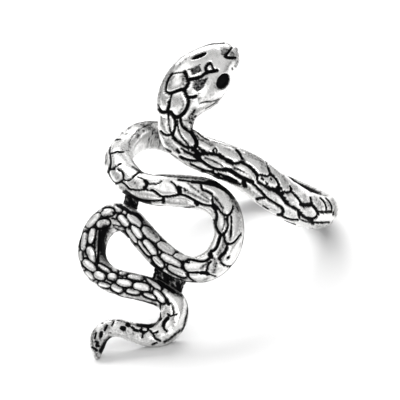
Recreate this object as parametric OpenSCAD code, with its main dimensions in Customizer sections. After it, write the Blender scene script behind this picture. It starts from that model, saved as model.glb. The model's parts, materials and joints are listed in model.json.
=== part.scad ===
// Snake ring in antiqued white metal, one casting.
// The snake goes once round the finger, crosses below its own neck and
// folds into three bends along the finger. Small bridges tie the folds: one
// in the upper gap, and two side by side in the lower gap.

/* [Finger] */
// Inside diameter of the hoop
finger_d = 17.5; // [16:0.1:21]
// Length of the straight wall that is bored for the finger
bore_l = 3; // [2:0.1:3.4]

/* [Body] */
// Breadth of the body against the measured one
girth = 1; // [0.9:0.01:1.05]
// Length of one scale along the body
scale_l = 2.3; // [2:0.1:3]
// Depth of the grooves between full scales
groove_d = 0.22; // [0.1:0.01:0.3]
// How far the top of a scale spreads toward its grooves, in ring steps
scale_pull = 0.45; // [0:0.05:0.5]
// Height of the body's widest line, as a share of its thickness
waist = 0.36; // [0.3:0.01:0.45]
// Breadth of the flat inner face, as a share of the body's breadth
sole = 0.66; // [0.5:0.01:0.8]
// Roundness of the back: 1 is an ellipse, less is squarer
back_round = 0.86; // [0.7:0.01:1]

/* [Head] */
// Diameter of an eye pit
eye_d = 1.35; // [0.8:0.05:1.5]
// Depth of an eye pit
eye_deep = 0.4; // [0.2:0.05:0.5]
// Angle of the eyes from the middle of the head's back
eye_angle = 43; // [40:1:60]
// Depth of the mouth line
mouth_d = 0.25; // [0.1:0.01:0.3]

/* [Bridges] */
// Thickness of the bridges between the folds against the measured one
bridge_girth = 1; // [0.8:0.05:1.2]

/* [Rest] */
// Lean of the ring about the left to right line, as it lies on a table
rest_lean = 59.7; // [50:0.1:65]
// Slant of the finger's line in the front view
rest_slant = -36.0; // [-40:0.1:-28]

/* [Hidden] */
metal = "silver";
finger_r = finger_d / 2;

// Columns of the station tables. All tables run from the snout to the tail.
// AROUND: degrees round the finger, 0 at the front, growing to the right
// ALONG: place along the finger from the hoop's middle, plus is to the head
// LIFT: height of the flat inner face above the finger
// WIDE, THICK: breadth and thickness of the body
// FACE: degrees round the finger that the back of the body faces
// GROOVE: share of the full groove depth
AROUND = 0;
ALONG = 1;
LIFT = 2;
WIDE = 3;
THICK = 4;
FACE = 5;
GROOVE = 6;

head = [
    [-25.0, 10.03, 0.57, 0.67, 0.70, -5, 0],
    [-25.5, 9.95, 0.45, 1.33, 1.30, -5, 0],
    [-26.6, 9.69, 0.37, 2.19, 1.75, -5, 0],
    [-28.4, 9.18, 0.40, 2.90, 2.10, -5, 0],
    [-30.1, 8.67, 0.50, 3.57, 2.40, -5, 0],
    [-32.7, 7.58, 0.75, 4.56, 2.80, -5, 0],
    [-35.4, 6.20, 1.07, 5.42, 3.05, -6, 0.2],
    [-37.3, 4.99, 1.31, 5.32, 3.05, -9, 0.6],
    [-39.4, 3.70, 1.20, 4.40, 2.80, -18, 1],
    [-40.3, 2.40, 0.60, 3.50, 2.50, -27, 1],
];
hoop = [
    [-37.0, 0.80, 0.15, 3.10, 2.50, -33, 1],
    [-30.0, 0.15, 0, 3.3, 2.4, -30, 1],
    [-21.0, -0.05, -0.05, 3.3, 2.3, -21, 1],
    [-10.0, 0.05, -0.05, 3.4, 2.3, -10, 1],
    [2.0, 0.15, -0.05, 3.5, 2.3, 2, 1],
    [12.5, 0.00, -0.05, 3.6, 2.3, 12.5, 1],
    [23.5, -0.38, -0.05, 3.7, 2.3, 23.5, 1],
    [35.0, -0.70, -0.05, 3.6, 2.3, 35, 1],
    [48.0, -0.90, -0.05, 3.5, 2.3, 48, 1],
    [63.0, -0.75, -0.05, 3.3, 2.3, 63, 1],
    [80.0, -0.40, -0.05, 3.0, 2.2, 80, 0.6],
    [105.0, 0.00, -0.05, 2.7, 2.1, 105, 0],
    [140.0, 0.10, -0.05, 2.6, 2.0, 140, 0],
    [180.0, 0.10, -0.05, 2.6, 2.0, 180, 0],
    [215.0, 0.10, -0.05, 2.6, 2.0, 215, 0],
    [236.0, -0.25, -0.05, 2.6, 2.0, 236, 0.2],
    [252.0, -1.30, 0, 2.6, 2.1, 252, 0.7],
    [266.0, -2.75, 0.05, 2.6, 2.2, 266, 1],
    [281.0, -3.85, 0.1, 2.6, 2.3, 281, 1],
    [296.0, -4.60, 0.1, 2.6, 2.3, 296, 1],
    [311.0, -5.10, 0.1, 2.7, 2.3, 311, 1],
    [323.5, -4.95, 0.1, 2.8, 2.3, 323, 1],
    [335.5, -4.25, 0.15, 3.0, 2.3, 333, 1],
    [346.0, -3.70, 0.25, 3.1, 2.3, 340, 1],
];
folds = [
    [356.0, -3.35, 0.5, 3.1, 2.2, 343, 1],
    [364.0, -3.60, 0.9, 3.0, 2.2, 345, 1],
    [370.5, -4.55, 1.3, 2.8, 2.2, 347, 1],
    [374.0, -5.80, 1.6, 2.8, 2.2, 348, 1],
    [375.0, -7.30, 1.7, 2.8, 2.2, 348, 1],
    [373.5, -8.55, 1.6, 2.7, 2.2, 347, 1],
    [370.0, -9.50, 1.3, 2.6, 2.1, 346, 1],
    [364.5, -10.15, 0.95, 2.4, 2.0, 344, 1],
    [357.5, -10.35, 0.6, 2.5, 2.0, 341, 1],
    [348.5, -10.20, 0.3, 2.6, 2.0, 339, 1],
    [338.0, -9.65, 0.15, 2.5, 2.0, 336, 1],
    [325.0, -8.80, 0.2, 2.4, 2.0, 332, 1],
    [317.5, -8.40, 0.4, 2.5, 2.0, 330, 1],
    [310.5, -8.50, 0.7, 2.6, 2.0, 328, 1],
    [305.0, -9.25, 1.0, 2.6, 2.0, 326, 1],
    [302.5, -10.45, 1.15, 2.6, 2.0, 325, 1],
    [302.0, -11.80, 1.0, 2.6, 2.0, 325, 1],
    [303.5, -12.90, 0.6, 2.5, 2.0, 326, 1],
    [309.5, -13.65, 0.25, 2.4, 2.0, 328, 1],
    [320.0, -14.00, 0.1, 2.3, 2.0, 331, 1],
    [331.0, -13.90, 0.1, 2.4, 2.0, 334, 1],
    [341.0, -13.60, 0.1, 2.4, 2.0, 337, 0.8],
    [349.5, -13.40, 0.1, 2.4, 2.0, 340, 0.6],
    [356.5, -13.40, 0.1, 2.4, 1.9, 342, 0.3],
    [362.5, -13.75, 0.1, 2.6, 1.9, 344, 0],
    [366.0, -14.55, 0.1, 2.6, 1.9, 345, 0],
    [366.5, -15.60, 0.1, 2.5, 1.8, 345, 0],
    [363.0, -16.70, 0.1, 2.3, 1.8, 344, 0],
];
tail = [
    [356.0, -17.30, 0.1, 2.1, 1.7, 342, 0],
    [347.5, -17.60, 0.2, 1.8, 1.6, 339, 0],
    [339.5, -17.80, 0.45, 1.6, 1.5, 337, 0],
    [334.5, -18.35, 0.7, 1.6, 1.4, 335, 0],
    [333.0, -19.25, 1.0, 1.6, 1.3, 334, 0],
    [334.5, -20.25, 1.2, 1.3, 1.0, 334, 0],
    [336.5, -21.05, 1.3, 0.5, 0.5, 334, 0],
];
stations = concat(head, hoop, folds, tail);
last_station = len(stations) - 1;
head_end = len(head);

// Rings of the sweep. Four rings make one scale along the body, and four
// steps make one scale across the back.
rings_per_scale = 4;
ring_step = scale_l / rings_per_scale;
scales_across = 5;
half_back = 2 * scales_across;
back_sweep = 100;

function station(i) = stations[min(max(i, 0), last_station)];

// Smooth row between stations i and i + 1, at share t
function smooth_row(i, t) =
    let (a = station(i - 1), b = station(i), c = station(i + 1), d = station(i + 2))
    b + (t / 2) * ((c - a) + t * ((2 * a - 5 * b + 4 * c - d) + t * (3 * (b - c) + d - a)));

// Row at a place given in stations, such as 3.5
function row_at(s) = smooth_row(floor(s), s - floor(s));

// Direction out from the finger, at an angle round it
function outward(angle) = [sin(angle), 0, cos(angle)];

function place(row) = (finger_r + row[LIFT]) * outward(row[AROUND]) + [0, row[ALONG], 0];

function span_rings(i) = max(1, round(norm(place(station(i + 1)) - place(station(i))) / ring_step));

rows = concat(
    [for (i = [0:last_station - 1]) let (n = span_rings(i)) for (k = [0:n - 1]) smooth_row(i, k / n)],
    [station(last_station)]
);
ring_n = len(rows);
head_rings = len([for (i = [0:head_end - 1]) for (k = [0:span_rings(i) - 1]) 1]);

function unit(v) = v / norm(v);

// Frame of a row: place, direction to its side, direction out of its back
function frame_of(p, ahead, row) =
    let (
        out = outward(row[FACE]),
        back = unit(out - (out * ahead) * ahead)
    )
    [p, cross(ahead, back), back];

// The first rings round off the snout and share one direction
snout_rings = 3;

function ring_frame(i) =
    let (
        k = max(i, snout_rings),
        before = place(rows[k - 1]),
        after = place(rows[min(k + 1, ring_n - 1)])
    )
    frame_of(place(rows[i]), unit(after - before), rows[i]);

// Place of a point of the body in a frame: sideways, and out of the back
function in_frame(f, x, z) = f[0] + x * f[1] + z * f[2];

frames = [for (i = [0:ring_n - 1]) ring_frame(i)];

function power(v, e) = sign(v) * pow(abs(v), e);

// Zigzag of the grooves that run along the body, in steps across
zigzag = [1, 0, -1, 0];

// 1 where a groove passes ring i at step j across the back
function groove_at(i, j) =
    let (
        z = zigzag[(i + rings_per_scale) % rings_per_scale],
        border = round(j / 4),
        border_sign = border % 2 == 0 ? 1 : -1,
        column = floor(j / 4),
        column_sign = column % 2 == 0 ? 1 : -1,
        on_border = j == 4 * border + border_sign * z,
        on_joint = column_sign * z == 1 && j > 4 * column
    )
    on_border || on_joint ? 1 : 0;

// 1 along the mouth, which runs at the widest line of the head
mouth_step = half_back - 1;
mouth_first = 1;
mouth_last = round(head_rings * 0.6);
function mouth_at(i, j) = abs(j) == mouth_step && i >= mouth_first && i <= mouth_last ? 1 : 0;

// Point of the back on row r in frame f, at an angle from the middle
function back_point(f, r, angle, sunk) =
    let (
        side = power(sin(angle), back_round),
        rise = power(cos(angle), back_round),
        x = side * (r[WIDE] * girth / 2),
        z = r[THICK] * (waist + (1 - waist) * rise)
    )
    in_frame(f, x - sunk * sin(angle), z - sunk * cos(angle));

function skin_point(i, step, sunk) =
    back_point(frames[i], rows[i], step * back_sweep / half_back, sunk);

// A point on top of a scale slides toward the grooves beside it, so that a
// groove is narrower than a ring step. It may slide along the body too.
function slide_across(i, j) =
    abs(j) == half_back ? 0 : scale_pull * (groove_at(i, j + 1) - groove_at(i, j - 1));
function slide_along(i, j) = scale_pull * (groove_at(i + 1, j) - groove_at(i - 1, j));

function scale_point(i, j) =
    let (
        step = j + slide_across(i, j),
        slide = slide_along(i, j),
        next = min(max(i + sign(slide), 0), ring_n - 1),
        here = skin_point(i, step, 0)
    )
    here + abs(slide) * (skin_point(next, step, 0) - here);

function dome_point(i, j) =
    let (depth = groove_d * rows[i][GROOVE])
    groove_at(i, j) == 1 ? skin_point(i, j, depth) :
    mouth_at(i, j) == 1 ? skin_point(i, j, mouth_d) : depth > 0 ? scale_point(i, j) : skin_point(i, j, 0);

sole_steps = [1, 0.33, -0.33, -1];

function ring_points(i) = concat(
    [for (j = [-half_back:half_back]) dome_point(i, j)],
    [for (s = sole_steps) in_frame(frames[i], s * sole * rows[i][WIDE] * girth / 2, 0)]
);

around_n = 2 * half_back + 1 + len(sole_steps);
body_points = [for (i = [0:ring_n - 1]) for (p = ring_points(i)) p];

// Two triangles for each square of the skin. The cut between them joins two
// corners of one kind, both in a groove or both on a scale.
function kind(i, j) = j > 2 * half_back ? 0 : groove_at(i, j - half_back);
function cut_along_bc(a, b, c, d, even) =
    (b == c) != (a == d) ? b == c : (b == c && a != b) ? b == 1 : even;

skin = [for (i = [0:ring_n - 2]) for (j = [0:around_n - 1])
    let (
        k = (j + 1) % around_n,
        a = i * around_n + j,
        b = i * around_n + k,
        c = a + around_n,
        d = b + around_n,
        bc = cut_along_bc(kind(i, j), kind(i, k), kind(i + 1, j), kind(i + 1, k), (i + j) % 2 == 0)
    )
    each bc ? [[a, c, b], [b, c, d]] : [[a, d, b], [a, c, d]]];
first_end = [for (j = [0:around_n - 1]) j];
last_end = [for (j = [around_n - 1:-1:0]) (ring_n - 1) * around_n + j];

// Eyes sit on the head's widest stretch
eye_station = 5.15;

function frame_at(s) =
    let (ahead = unit(place(row_at(s + 0.1)) - place(row_at(s - 0.1))))
    frame_of(place(row_at(s)), ahead, row_at(s));

// Middle of the body at a place given in stations
function waist_at(s) = in_frame(frame_at(s), 0, row_at(s)[THICK] * waist);

// Bridges. START and END are places on the body, in stations
START = 0;
END = 1;
ACROSS = 2;
fold_start = len(head) + len(hoop);
bridges = [
    [fold_start - 3.5, fold_start + 12.6, 1.6],
    [fold_start + 8.6, fold_start + 22.8, 1.9],
    [fold_start + 7.6, fold_start + 24.3, 1.9],
];

// Turning of the ring from the finger's frame to the way it lies
function spin_z(a) = [[cos(a), -sin(a), 0], [sin(a), cos(a), 0], [0, 0, 1]];
function spin_x(a) = [[1, 0, 0], [0, cos(a), -sin(a)], [0, sin(a), cos(a)]];
rest_turn = spin_x(rest_lean) * spin_z(rest_slant);
lying = [for (p = body_points) rest_turn * p];
low = [for (k = [0:2]) min([for (p = lying) p[k]])];
high = [for (k = [0:2]) max([for (p = lying) p[k]])];
foot = [(low[0] + high[0]) / 2, (low[1] + high[1]) / 2, low[2]];

module body_casting() polyhedron(points = body_points, faces = concat(skin, [first_end, last_end]));

module finger_bore() rotate([90, 0, 0]) cylinder(h = bore_l, r = finger_r, center = true, $fn = 96);

// Children drawn along Z are turned to run along the direction v
module along(v) rotate([0, acos(v[2] / norm(v)), atan2(v[1], v[0])]) children();

module eye_pits() {
    f = frame_at(eye_station);
    r = row_at(eye_station);
    for (angle = [-eye_angle, eye_angle])
        translate(back_point(f, r, angle, 0)) along(sin(angle) * f[1] + cos(angle) * f[2])
        cylinder(h = 2 * eye_deep, d = eye_d, center = true, $fn = 32);
}

module bridge(b) {
    from = waist_at(b[START]);
    reach = waist_at(b[END]) - from;
    translate(from) along(reach) cylinder(h = norm(reach), d = bridge_girth * b[ACROSS], $fn = 24);
}

module snake_ring() {
    color(metal) translate(-foot) rotate([rest_lean, 0, 0]) rotate([0, 0, rest_slant])
    difference() {
        union() {
            body_casting();
            for (b = bridges) bridge(b);
        }
        finger_bore();
        eye_pits();
    }
}

snake_ring();
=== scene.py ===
import json
import math

import bmesh
import bpy
import numpy as np
from bpy.props import FloatProperty, FloatVectorProperty, PointerProperty
from mathutils import Matrix, Vector


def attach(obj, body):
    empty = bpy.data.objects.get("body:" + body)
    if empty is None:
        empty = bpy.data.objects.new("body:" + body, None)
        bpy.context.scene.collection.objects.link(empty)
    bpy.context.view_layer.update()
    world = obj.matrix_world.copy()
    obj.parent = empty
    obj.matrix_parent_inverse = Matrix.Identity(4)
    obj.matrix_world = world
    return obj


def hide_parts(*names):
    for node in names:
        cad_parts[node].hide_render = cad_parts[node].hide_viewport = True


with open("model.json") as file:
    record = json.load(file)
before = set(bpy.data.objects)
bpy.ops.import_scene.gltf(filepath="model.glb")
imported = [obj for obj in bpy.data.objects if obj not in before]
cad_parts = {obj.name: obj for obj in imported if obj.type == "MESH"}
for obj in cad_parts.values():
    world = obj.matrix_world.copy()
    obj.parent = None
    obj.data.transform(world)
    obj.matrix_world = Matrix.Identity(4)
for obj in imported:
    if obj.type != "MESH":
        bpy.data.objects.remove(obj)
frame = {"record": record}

bl_info = {
    "name": "Snake ring",
    "version": (1, 0, 0),
    "blender": (4, 5, 0),
    "location": "View3D > Sidebar > Snake Ring",
    "description": "Models the cast snake ring, its webs and a plain studio",
    "category": "Object",
}

# The ring is worked out in its finger's frame, in millimetres: X across the
# finger, Y along it to the snake's head, Z out of the front. Then it is
# turned and moved to the place where it lies, in metres.
MM = 0.001
# Farther than anything on the ring
FAR = 1e9
NODE = "snake_ring"
BODY = "root"

# The way the ring lies: its lean about the left to right line, and the slant
# of the finger's line in the front view
REST_LEAN = math.radians(59.7)
REST_SLANT = math.radians(-36.0)
REST_TURN = Matrix.Rotation(REST_LEAN, 3, "X") @ Matrix.Rotation(REST_SLANT, 3, "Z")
FINGER = frame["record"]["mounts"][0]
HOOP_MIDDLE = Vector(FINGER["pos_m"])

# The camera looks at the ring's front, rolled a little to the right
CAMERA_ROLL = math.radians(12.05)
CAMERA_REACH = 1.0
CAMERA_SENSOR = 36.0
VIEW_WIDTH = 0.0367
VIEW_MIDDLE = Vector((-2.844, -3.119, 9.0))

# Columns of the station tables, which run from the snout to the tail: turn
# round the finger from its front in degrees, place along the finger, lift
# off it, breadth, thickness, the way that the back faces in degrees, and
# share of the even scales
AROUND, ALONG, LIFT, WIDE, THICK, FACE, GROOVE = range(7)

HEAD = [
    (-25.0, 10.03, 0.57, 0.67, 0.70, -5, 0),
    (-25.5, 9.95, 0.45, 1.33, 1.30, -5, 0),
    (-26.6, 9.69, 0.37, 2.19, 1.75, -5, 0),
    (-28.4, 9.18, 0.40, 2.90, 2.10, -5, 0),
    (-30.1, 8.67, 0.50, 3.57, 2.40, -5, 0),
    (-32.7, 7.58, 0.75, 4.56, 2.80, -5, 0),
    (-35.4, 6.20, 1.07, 5.42, 3.05, -6, 0.2),
    (-37.3, 4.99, 1.31, 5.32, 3.05, -9, 0.6),
    (-39.4, 3.70, 1.20, 4.40, 2.80, -18, 1),
    (-40.3, 2.40, 0.60, 3.50, 2.50, -27, 1),
]
HOOP = [
    (-37.0, 0.80, 0.15, 3.10, 2.50, -33, 1),
    (-30.0, 0.15, 0, 3.3, 2.4, -30, 1),
    (-21.0, -0.05, -0.05, 3.3, 2.3, -21, 1),
    (-10.0, 0.05, -0.05, 3.4, 2.3, -10, 1),
    (2.0, 0.15, -0.05, 3.5, 2.3, 2, 1),
    (12.5, 0.00, -0.05, 3.6, 2.3, 12.5, 1),
    (23.5, -0.38, -0.05, 3.7, 2.3, 23.5, 1),
    (35.0, -0.70, -0.05, 3.6, 2.3, 35, 1),
    (48.0, -0.90, -0.05, 3.5, 2.3, 48, 1),
    (63.0, -0.75, -0.05, 3.3, 2.3, 63, 1),
    (80.0, -0.40, -0.05, 3.0, 2.2, 80, 0.6),
    (105.0, 0.00, -0.05, 2.7, 2.1, 105, 0),
    (140.0, 0.10, -0.05, 2.6, 2.0, 140, 0),
    (180.0, 0.10, -0.05, 2.6, 2.0, 180, 0),
    (215.0, 0.10, -0.05, 2.6, 2.0, 215, 0),
    (236.0, -0.25, -0.05, 2.6, 2.0, 236, 0.2),
    (252.0, -1.30, 0, 2.6, 2.1, 252, 0.7),
    (266.0, -2.75, 0.05, 2.6, 2.2, 266, 1),
    (281.0, -3.85, 0.1, 2.6, 2.3, 281, 1),
    (296.0, -4.60, 0.1, 2.6, 2.3, 296, 1),
    (311.0, -5.10, 0.1, 2.7, 2.3, 311, 1),
    (323.5, -4.95, 0.1, 2.8, 2.3, 323, 1),
    (335.5, -4.25, 0.15, 3.0, 2.3, 333, 1),
    (346.0, -3.70, 0.25, 3.1, 2.3, 340, 1),
]
FOLDS = [
    (356.0, -3.35, 0.5, 3.1, 2.2, 343, 1),
    (364.0, -3.60, 0.9, 3.0, 2.2, 345, 1),
    (370.5, -4.55, 1.3, 2.8, 2.2, 347, 1),
    (374.0, -5.80, 1.6, 2.8, 2.2, 348, 1),
    (375.0, -7.30, 1.7, 2.8, 2.2, 348, 1),
    (373.5, -8.55, 1.6, 2.7, 2.2, 347, 1),
    (370.0, -9.50, 1.3, 2.6, 2.1, 346, 1),
    (364.5, -10.15, 0.95, 2.4, 2.0, 344, 1),
    (357.5, -10.35, 0.6, 2.5, 2.0, 341, 1),
    (348.5, -10.20, 0.3, 2.6, 2.0, 339, 1),
    (338.0, -9.65, 0.15, 2.5, 2.0, 336, 1),
    (325.0, -8.80, 0.2, 2.4, 2.0, 332, 1),
    (317.5, -8.40, 0.4, 2.5, 2.0, 330, 1),
    (310.5, -8.50, 0.7, 2.6, 2.0, 328, 1),
    (305.0, -9.25, 1.0, 2.6, 2.0, 326, 1),
    (302.5, -10.45, 1.15, 2.6, 2.0, 325, 1),
    (302.0, -11.80, 1.0, 2.6, 2.0, 325, 1),
    (303.5, -12.90, 0.6, 2.5, 2.0, 326, 1),
    (309.5, -13.65, 0.25, 2.4, 2.0, 328, 1),
    (320.0, -14.00, 0.1, 2.3, 2.0, 331, 1),
    (331.0, -13.90, 0.1, 2.4, 2.0, 334, 1),
    (341.0, -13.60, 0.1, 2.4, 2.0, 337, 0.8),
    (349.5, -13.40, 0.1, 2.4, 2.0, 340, 0.6),
    (356.5, -13.40, 0.1, 2.4, 1.9, 342, 0.3),
    (362.5, -13.75, 0.1, 2.6, 1.9, 344, 0),
    (366.0, -14.55, 0.1, 2.6, 1.9, 345, 0),
    (366.5, -15.60, 0.1, 2.5, 1.8, 345, 0),
    (363.0, -16.70, 0.1, 2.3, 1.8, 344, 0),
]
TAIL = [
    (356.0, -17.30, 0.1, 2.1, 1.7, 342, 0),
    (347.5, -17.60, 0.2, 1.8, 1.6, 339, 0),
    (339.5, -17.80, 0.45, 1.6, 1.5, 337, 0),
    (334.5, -18.35, 0.7, 1.6, 1.4, 335, 0),
    (333.0, -19.25, 1.0, 1.6, 1.3, 334, 0),
    (334.5, -20.25, 1.2, 1.3, 1.0, 334, 0),
    (336.5, -21.05, 1.3, 0.5, 0.5, 334, 0),
]
STATIONS = np.array(HEAD + HOOP + FOLDS + TAIL)
LAST_STATION = len(STATIONS) - 1
FOLD_START = len(HEAD) + len(HOOP)

# Stations between which the hoop's back is smooth, and those between which
# its cells are long
HOOP_BACK = (20, 27)
LONG_CELLS = (len(HEAD) + 11, len(HEAD) + 15)

# The body's section: height of the widest line as a share of the thickness,
# breadth of the flat sole as a share of the breadth, roundness of the back,
# and the angle that the back reaches on each side
WAIST = 0.36
SOLE = 0.66
BACK_ROUND = 0.86
BACK_SWEEP = math.radians(100)
FLANK_BULGE = 0.95

# A ring of the casting every quarter of a scale, and ten degrees a step
RING_STEP = 2.3 / 4
HALF_BACK = 10
STEP_ANGLE = BACK_SWEEP / HALF_BACK
SNOUT_RINGS = 3

# Cells of the mesh: along the body for each ring, and round the section
HEAD_CELLS = 8
SCALED_CELLS = 7
SMOOTH_CELLS = 2
BACK_CELLS = 60
FLANK_CELLS = 3
SOLE_CELLS = 4
AROUND_CELLS = BACK_CELLS + 2 * FLANK_CELLS + SOLE_CELLS
CAP_CELLS = 4
END_CAP = 0.2

# Even scales of the sides: station and length of a scale there, steps from
# one row to the next, and half a scale's length and breadth, in lengths and
# in steps
SCALE_LENGTHS = ((0, 2.3), (19, 2.3), (26, 2.0), (34, 1.9), (69, 1.85))
ROW_STEPS = 4
HALF_SCALE = (0.5, 2.25)

# How far such a scale strays along its row and across it, and by how much
# its size and its slant differ
STRAY_ALONG = 0.08
STRAY_ACROSS = 0.5
STRAY_SIZE = 0.12
STRAY_SLANT = 1.2

# Roundness of a scale's outline, how far in its edge is rounded on the sides
# and on the front, and the gap round one that has no neighbour
LEAF_ROUND = 2.5
SIDE_ROUNDING = 0.6
LEAF_ROUNDING = 0.45
LEAF_MARGIN = 0.08

# Oxide and painted shade along the edge of each scale of the front, how far
# in they reach, and how soon a thin share of black darkens
EDGE_OXIDE_AND_SHADE = 0.42
EDGE_OXIDE_AND_SHADE_REACH = 0.4
TARNISH = 1.6

# Section of a mark in its half breadths: start and breadth of its wall and
# of its black, and reach of its shoulder, with the depth that each has
MARK_WALL = (1.3, 0.9)
MARK_BLACK = (1.35, 0.5)
MARK_SHOULDER = 2.6
WALL_DEPTH = 0.8
SHOULDER_DEPTH = 0.25

# Mouth: steps from the top of the back to its line at the snout, how far the
# line rises to the corner, its first ring and its last station, its depth
# and its black
MOUTH_STEP = 8.9
MOUTH_RISE = 0.9
MOUTH_RING = 0.6
MOUTH_STATION = 6.4
MOUTH_DEPTH = 0.2
MOUTH_BLACK = 0.8

# Stations where the inside is worn bright again, the most that the wear
# takes off, and the black of the painted shade on the underside
WORN = (24, 32)
WEAR = 0.65
UNDERSIDE_SHADE = 0.8


# Curves and unevenness
def between(a, b, c, d, t):
    """Place at t on the smooth curve from b to c. It comes from a and goes on
    to d."""
    return b + (t / 2) * (c - a + t * (2 * a - 5 * b + 4 * c - d + t * (3 * (b - c) + d - a)))


def smooth(t):
    """From 0 to 1 without a corner."""
    t = np.clip(t, 0, 1)
    return t * t * (3 - 2 * t)


def along(s, first, rise, last, fall):
    """1 on a stretch, with soft ends inside it."""
    return smooth((s - first) / rise) * smooth((last - s) / fall)


def power(v, e):
    return np.sign(v) * np.abs(v) ** e


def oval(a, b):
    """Size of the rounded outline through a place given in half lengths."""
    return (np.abs(a) ** LEAF_ROUND + np.abs(b) ** LEAF_ROUND) ** (1 / LEAF_ROUND)


def turned(right, up, slant):
    """A step to the right and up, measured along a slant and across it."""
    return right * math.cos(slant) + up * math.sin(slant), up * math.cos(slant) - right * math.sin(slant)


def ripple(a, b, c, seed):
    """Slow, even unevenness between -1 and 1."""
    total = 0
    for k in range(4):
        p = seed + 2.4 * k
        fine = 1 + k
        total = total + np.sin(a * math.cos(p) * fine + b * math.sin(p) * fine + c * (0.6 + k) + 5 * p)
    return total / 4


def scatter(a, b, seed):
    """A fixed number between 0 and 1 for each pair of whole numbers."""
    return np.modf(np.abs(np.sin(a * 12.9898 + b * 78.233 + seed * 37.719)) * 43758.5453)[0]


# Stations and rings
def row_at(s):
    """Smooth rows of the station tables at places given in stations."""
    i = np.clip(np.floor(s).astype(int), 0, LAST_STATION)
    near = (STATIONS[np.clip(i + k, 0, LAST_STATION)] for k in (-1, 0, 1, 2))
    return between(*near, (s - i)[:, None])


def outward(degrees):
    """Direction away from the finger, turned from its front."""
    angle = np.radians(degrees)
    return np.stack([np.sin(angle), np.zeros_like(angle), np.cos(angle)], axis=-1)


def place(rows, finger_r):
    """Middle of the body's sole at each row."""
    out = outward(rows[:, AROUND]) * (finger_r + rows[:, LIFT])[:, None]
    out[:, 1] = rows[:, ALONG]
    return out


def unit(v):
    return v / np.linalg.norm(v, axis=-1, keepdims=True)


def ring_stations(finger_r):
    """Place of each ring of the casting, in stations."""
    spots = place(STATIONS, finger_r)
    found = []
    for i in range(LAST_STATION):
        n = max(1, round(float(np.linalg.norm(spots[i + 1] - spots[i])) / RING_STEP))
        found += [i + k / n for k in range(n)]
    return np.array(found + [float(LAST_STATION)])


class Spine:
    """The body's middle line, asked by a place counted in rings."""

    def __init__(self, finger_r):
        self.finger_r = finger_r
        self.rings = ring_stations(finger_r)
        self.last = len(self.rings) - 1

    def station(self, ring):
        return np.interp(ring, np.arange(self.last + 1), self.rings)

    def ring(self, station):
        return np.interp(station, self.rings, np.arange(self.last + 1))

    def rows(self, ring):
        return row_at(self.station(ring))

    def frames(self, ring):
        """Place, direction ahead, to the side and out of the back."""
        k = np.maximum(ring, SNOUT_RINGS)
        before = place(self.rows(k - 1), self.finger_r)
        after = place(self.rows(np.minimum(k + 1, self.last)), self.finger_r)
        ahead = unit(after - before)
        rows = self.rows(ring)
        out = outward(rows[:, FACE])
        back = unit(out - np.sum(out * ahead, axis=1)[:, None] * ahead)
        return place(rows, self.finger_r), ahead, np.cross(ahead, back), back

    def waist(self, station):
        """Middle of the body at one place, given in stations."""
        ring = np.array([float(self.ring(station))])
        spot, _, _, back = self.frames(ring)
        return (spot + back * self.rows(ring)[:, THICK:THICK + 1] * WAIST)[0]


def section(around, wide, thick):
    """Section of the body. around counts cells from one end of the back,
    over it, down the flank and along the sole. Gives the place sideways and
    out of the back, the direction outwards, and the step across the back."""
    step = np.clip(around / BACK_CELLS, 0, 1) * 2 * HALF_BACK - HALF_BACK
    angle = step * STEP_ANGLE
    x = power(np.sin(angle), BACK_ROUND) * wide / 2
    z = thick * (WAIST + (1 - WAIST) * power(np.cos(angle), BACK_ROUND))
    nx, nz = np.sin(angle), np.cos(angle)
    # Both flanks, from the back's ends down to the sole
    bulge = FLANK_BULGE * wide / 2
    end_x = math.sin(BACK_SWEEP) ** BACK_ROUND * wide / 2
    end_z = thick * (WAIST - (1 - WAIST) * (-math.cos(BACK_SWEEP)) ** BACK_ROUND)
    for sign, share in (
        (1, (around - BACK_CELLS) / FLANK_CELLS),
        (-1, (AROUND_CELLS - around) / FLANK_CELLS),
    ):
        on = (share > 0) & (share <= 1) if sign > 0 else (share >= 0) & (share <= 1)
        t = np.clip(share, 0, 1)
        flank = (1 - t) ** 2 * end_x + 2 * t * (1 - t) * bulge + t ** 2 * SOLE * wide / 2
        x = np.where(on, sign * flank, x)
        z = np.where(on, (1 - t) ** 2 * end_z, z)
        nx = np.where(on, sign * np.cos(t * math.pi / 2), nx)
        nz = np.where(on, -np.sin(t * math.pi / 2), nz)
    share = (around - BACK_CELLS - FLANK_CELLS) / SOLE_CELLS
    on = (share > 0) & (share < 1)
    x = np.where(on, (1 - 2 * share) * SOLE * wide / 2, x)
    z = np.where(on, 0, z)
    nx = np.where(on, 0, nx)
    nz = np.where(on, -1, nz)
    return x, z, nx, nz, step


def to_rest(points):
    """From the finger's frame in millimetres to where the ring lies."""
    return points @ np.array(REST_TURN).T * MM + np.array(HOOP_MIDDLE)
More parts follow.
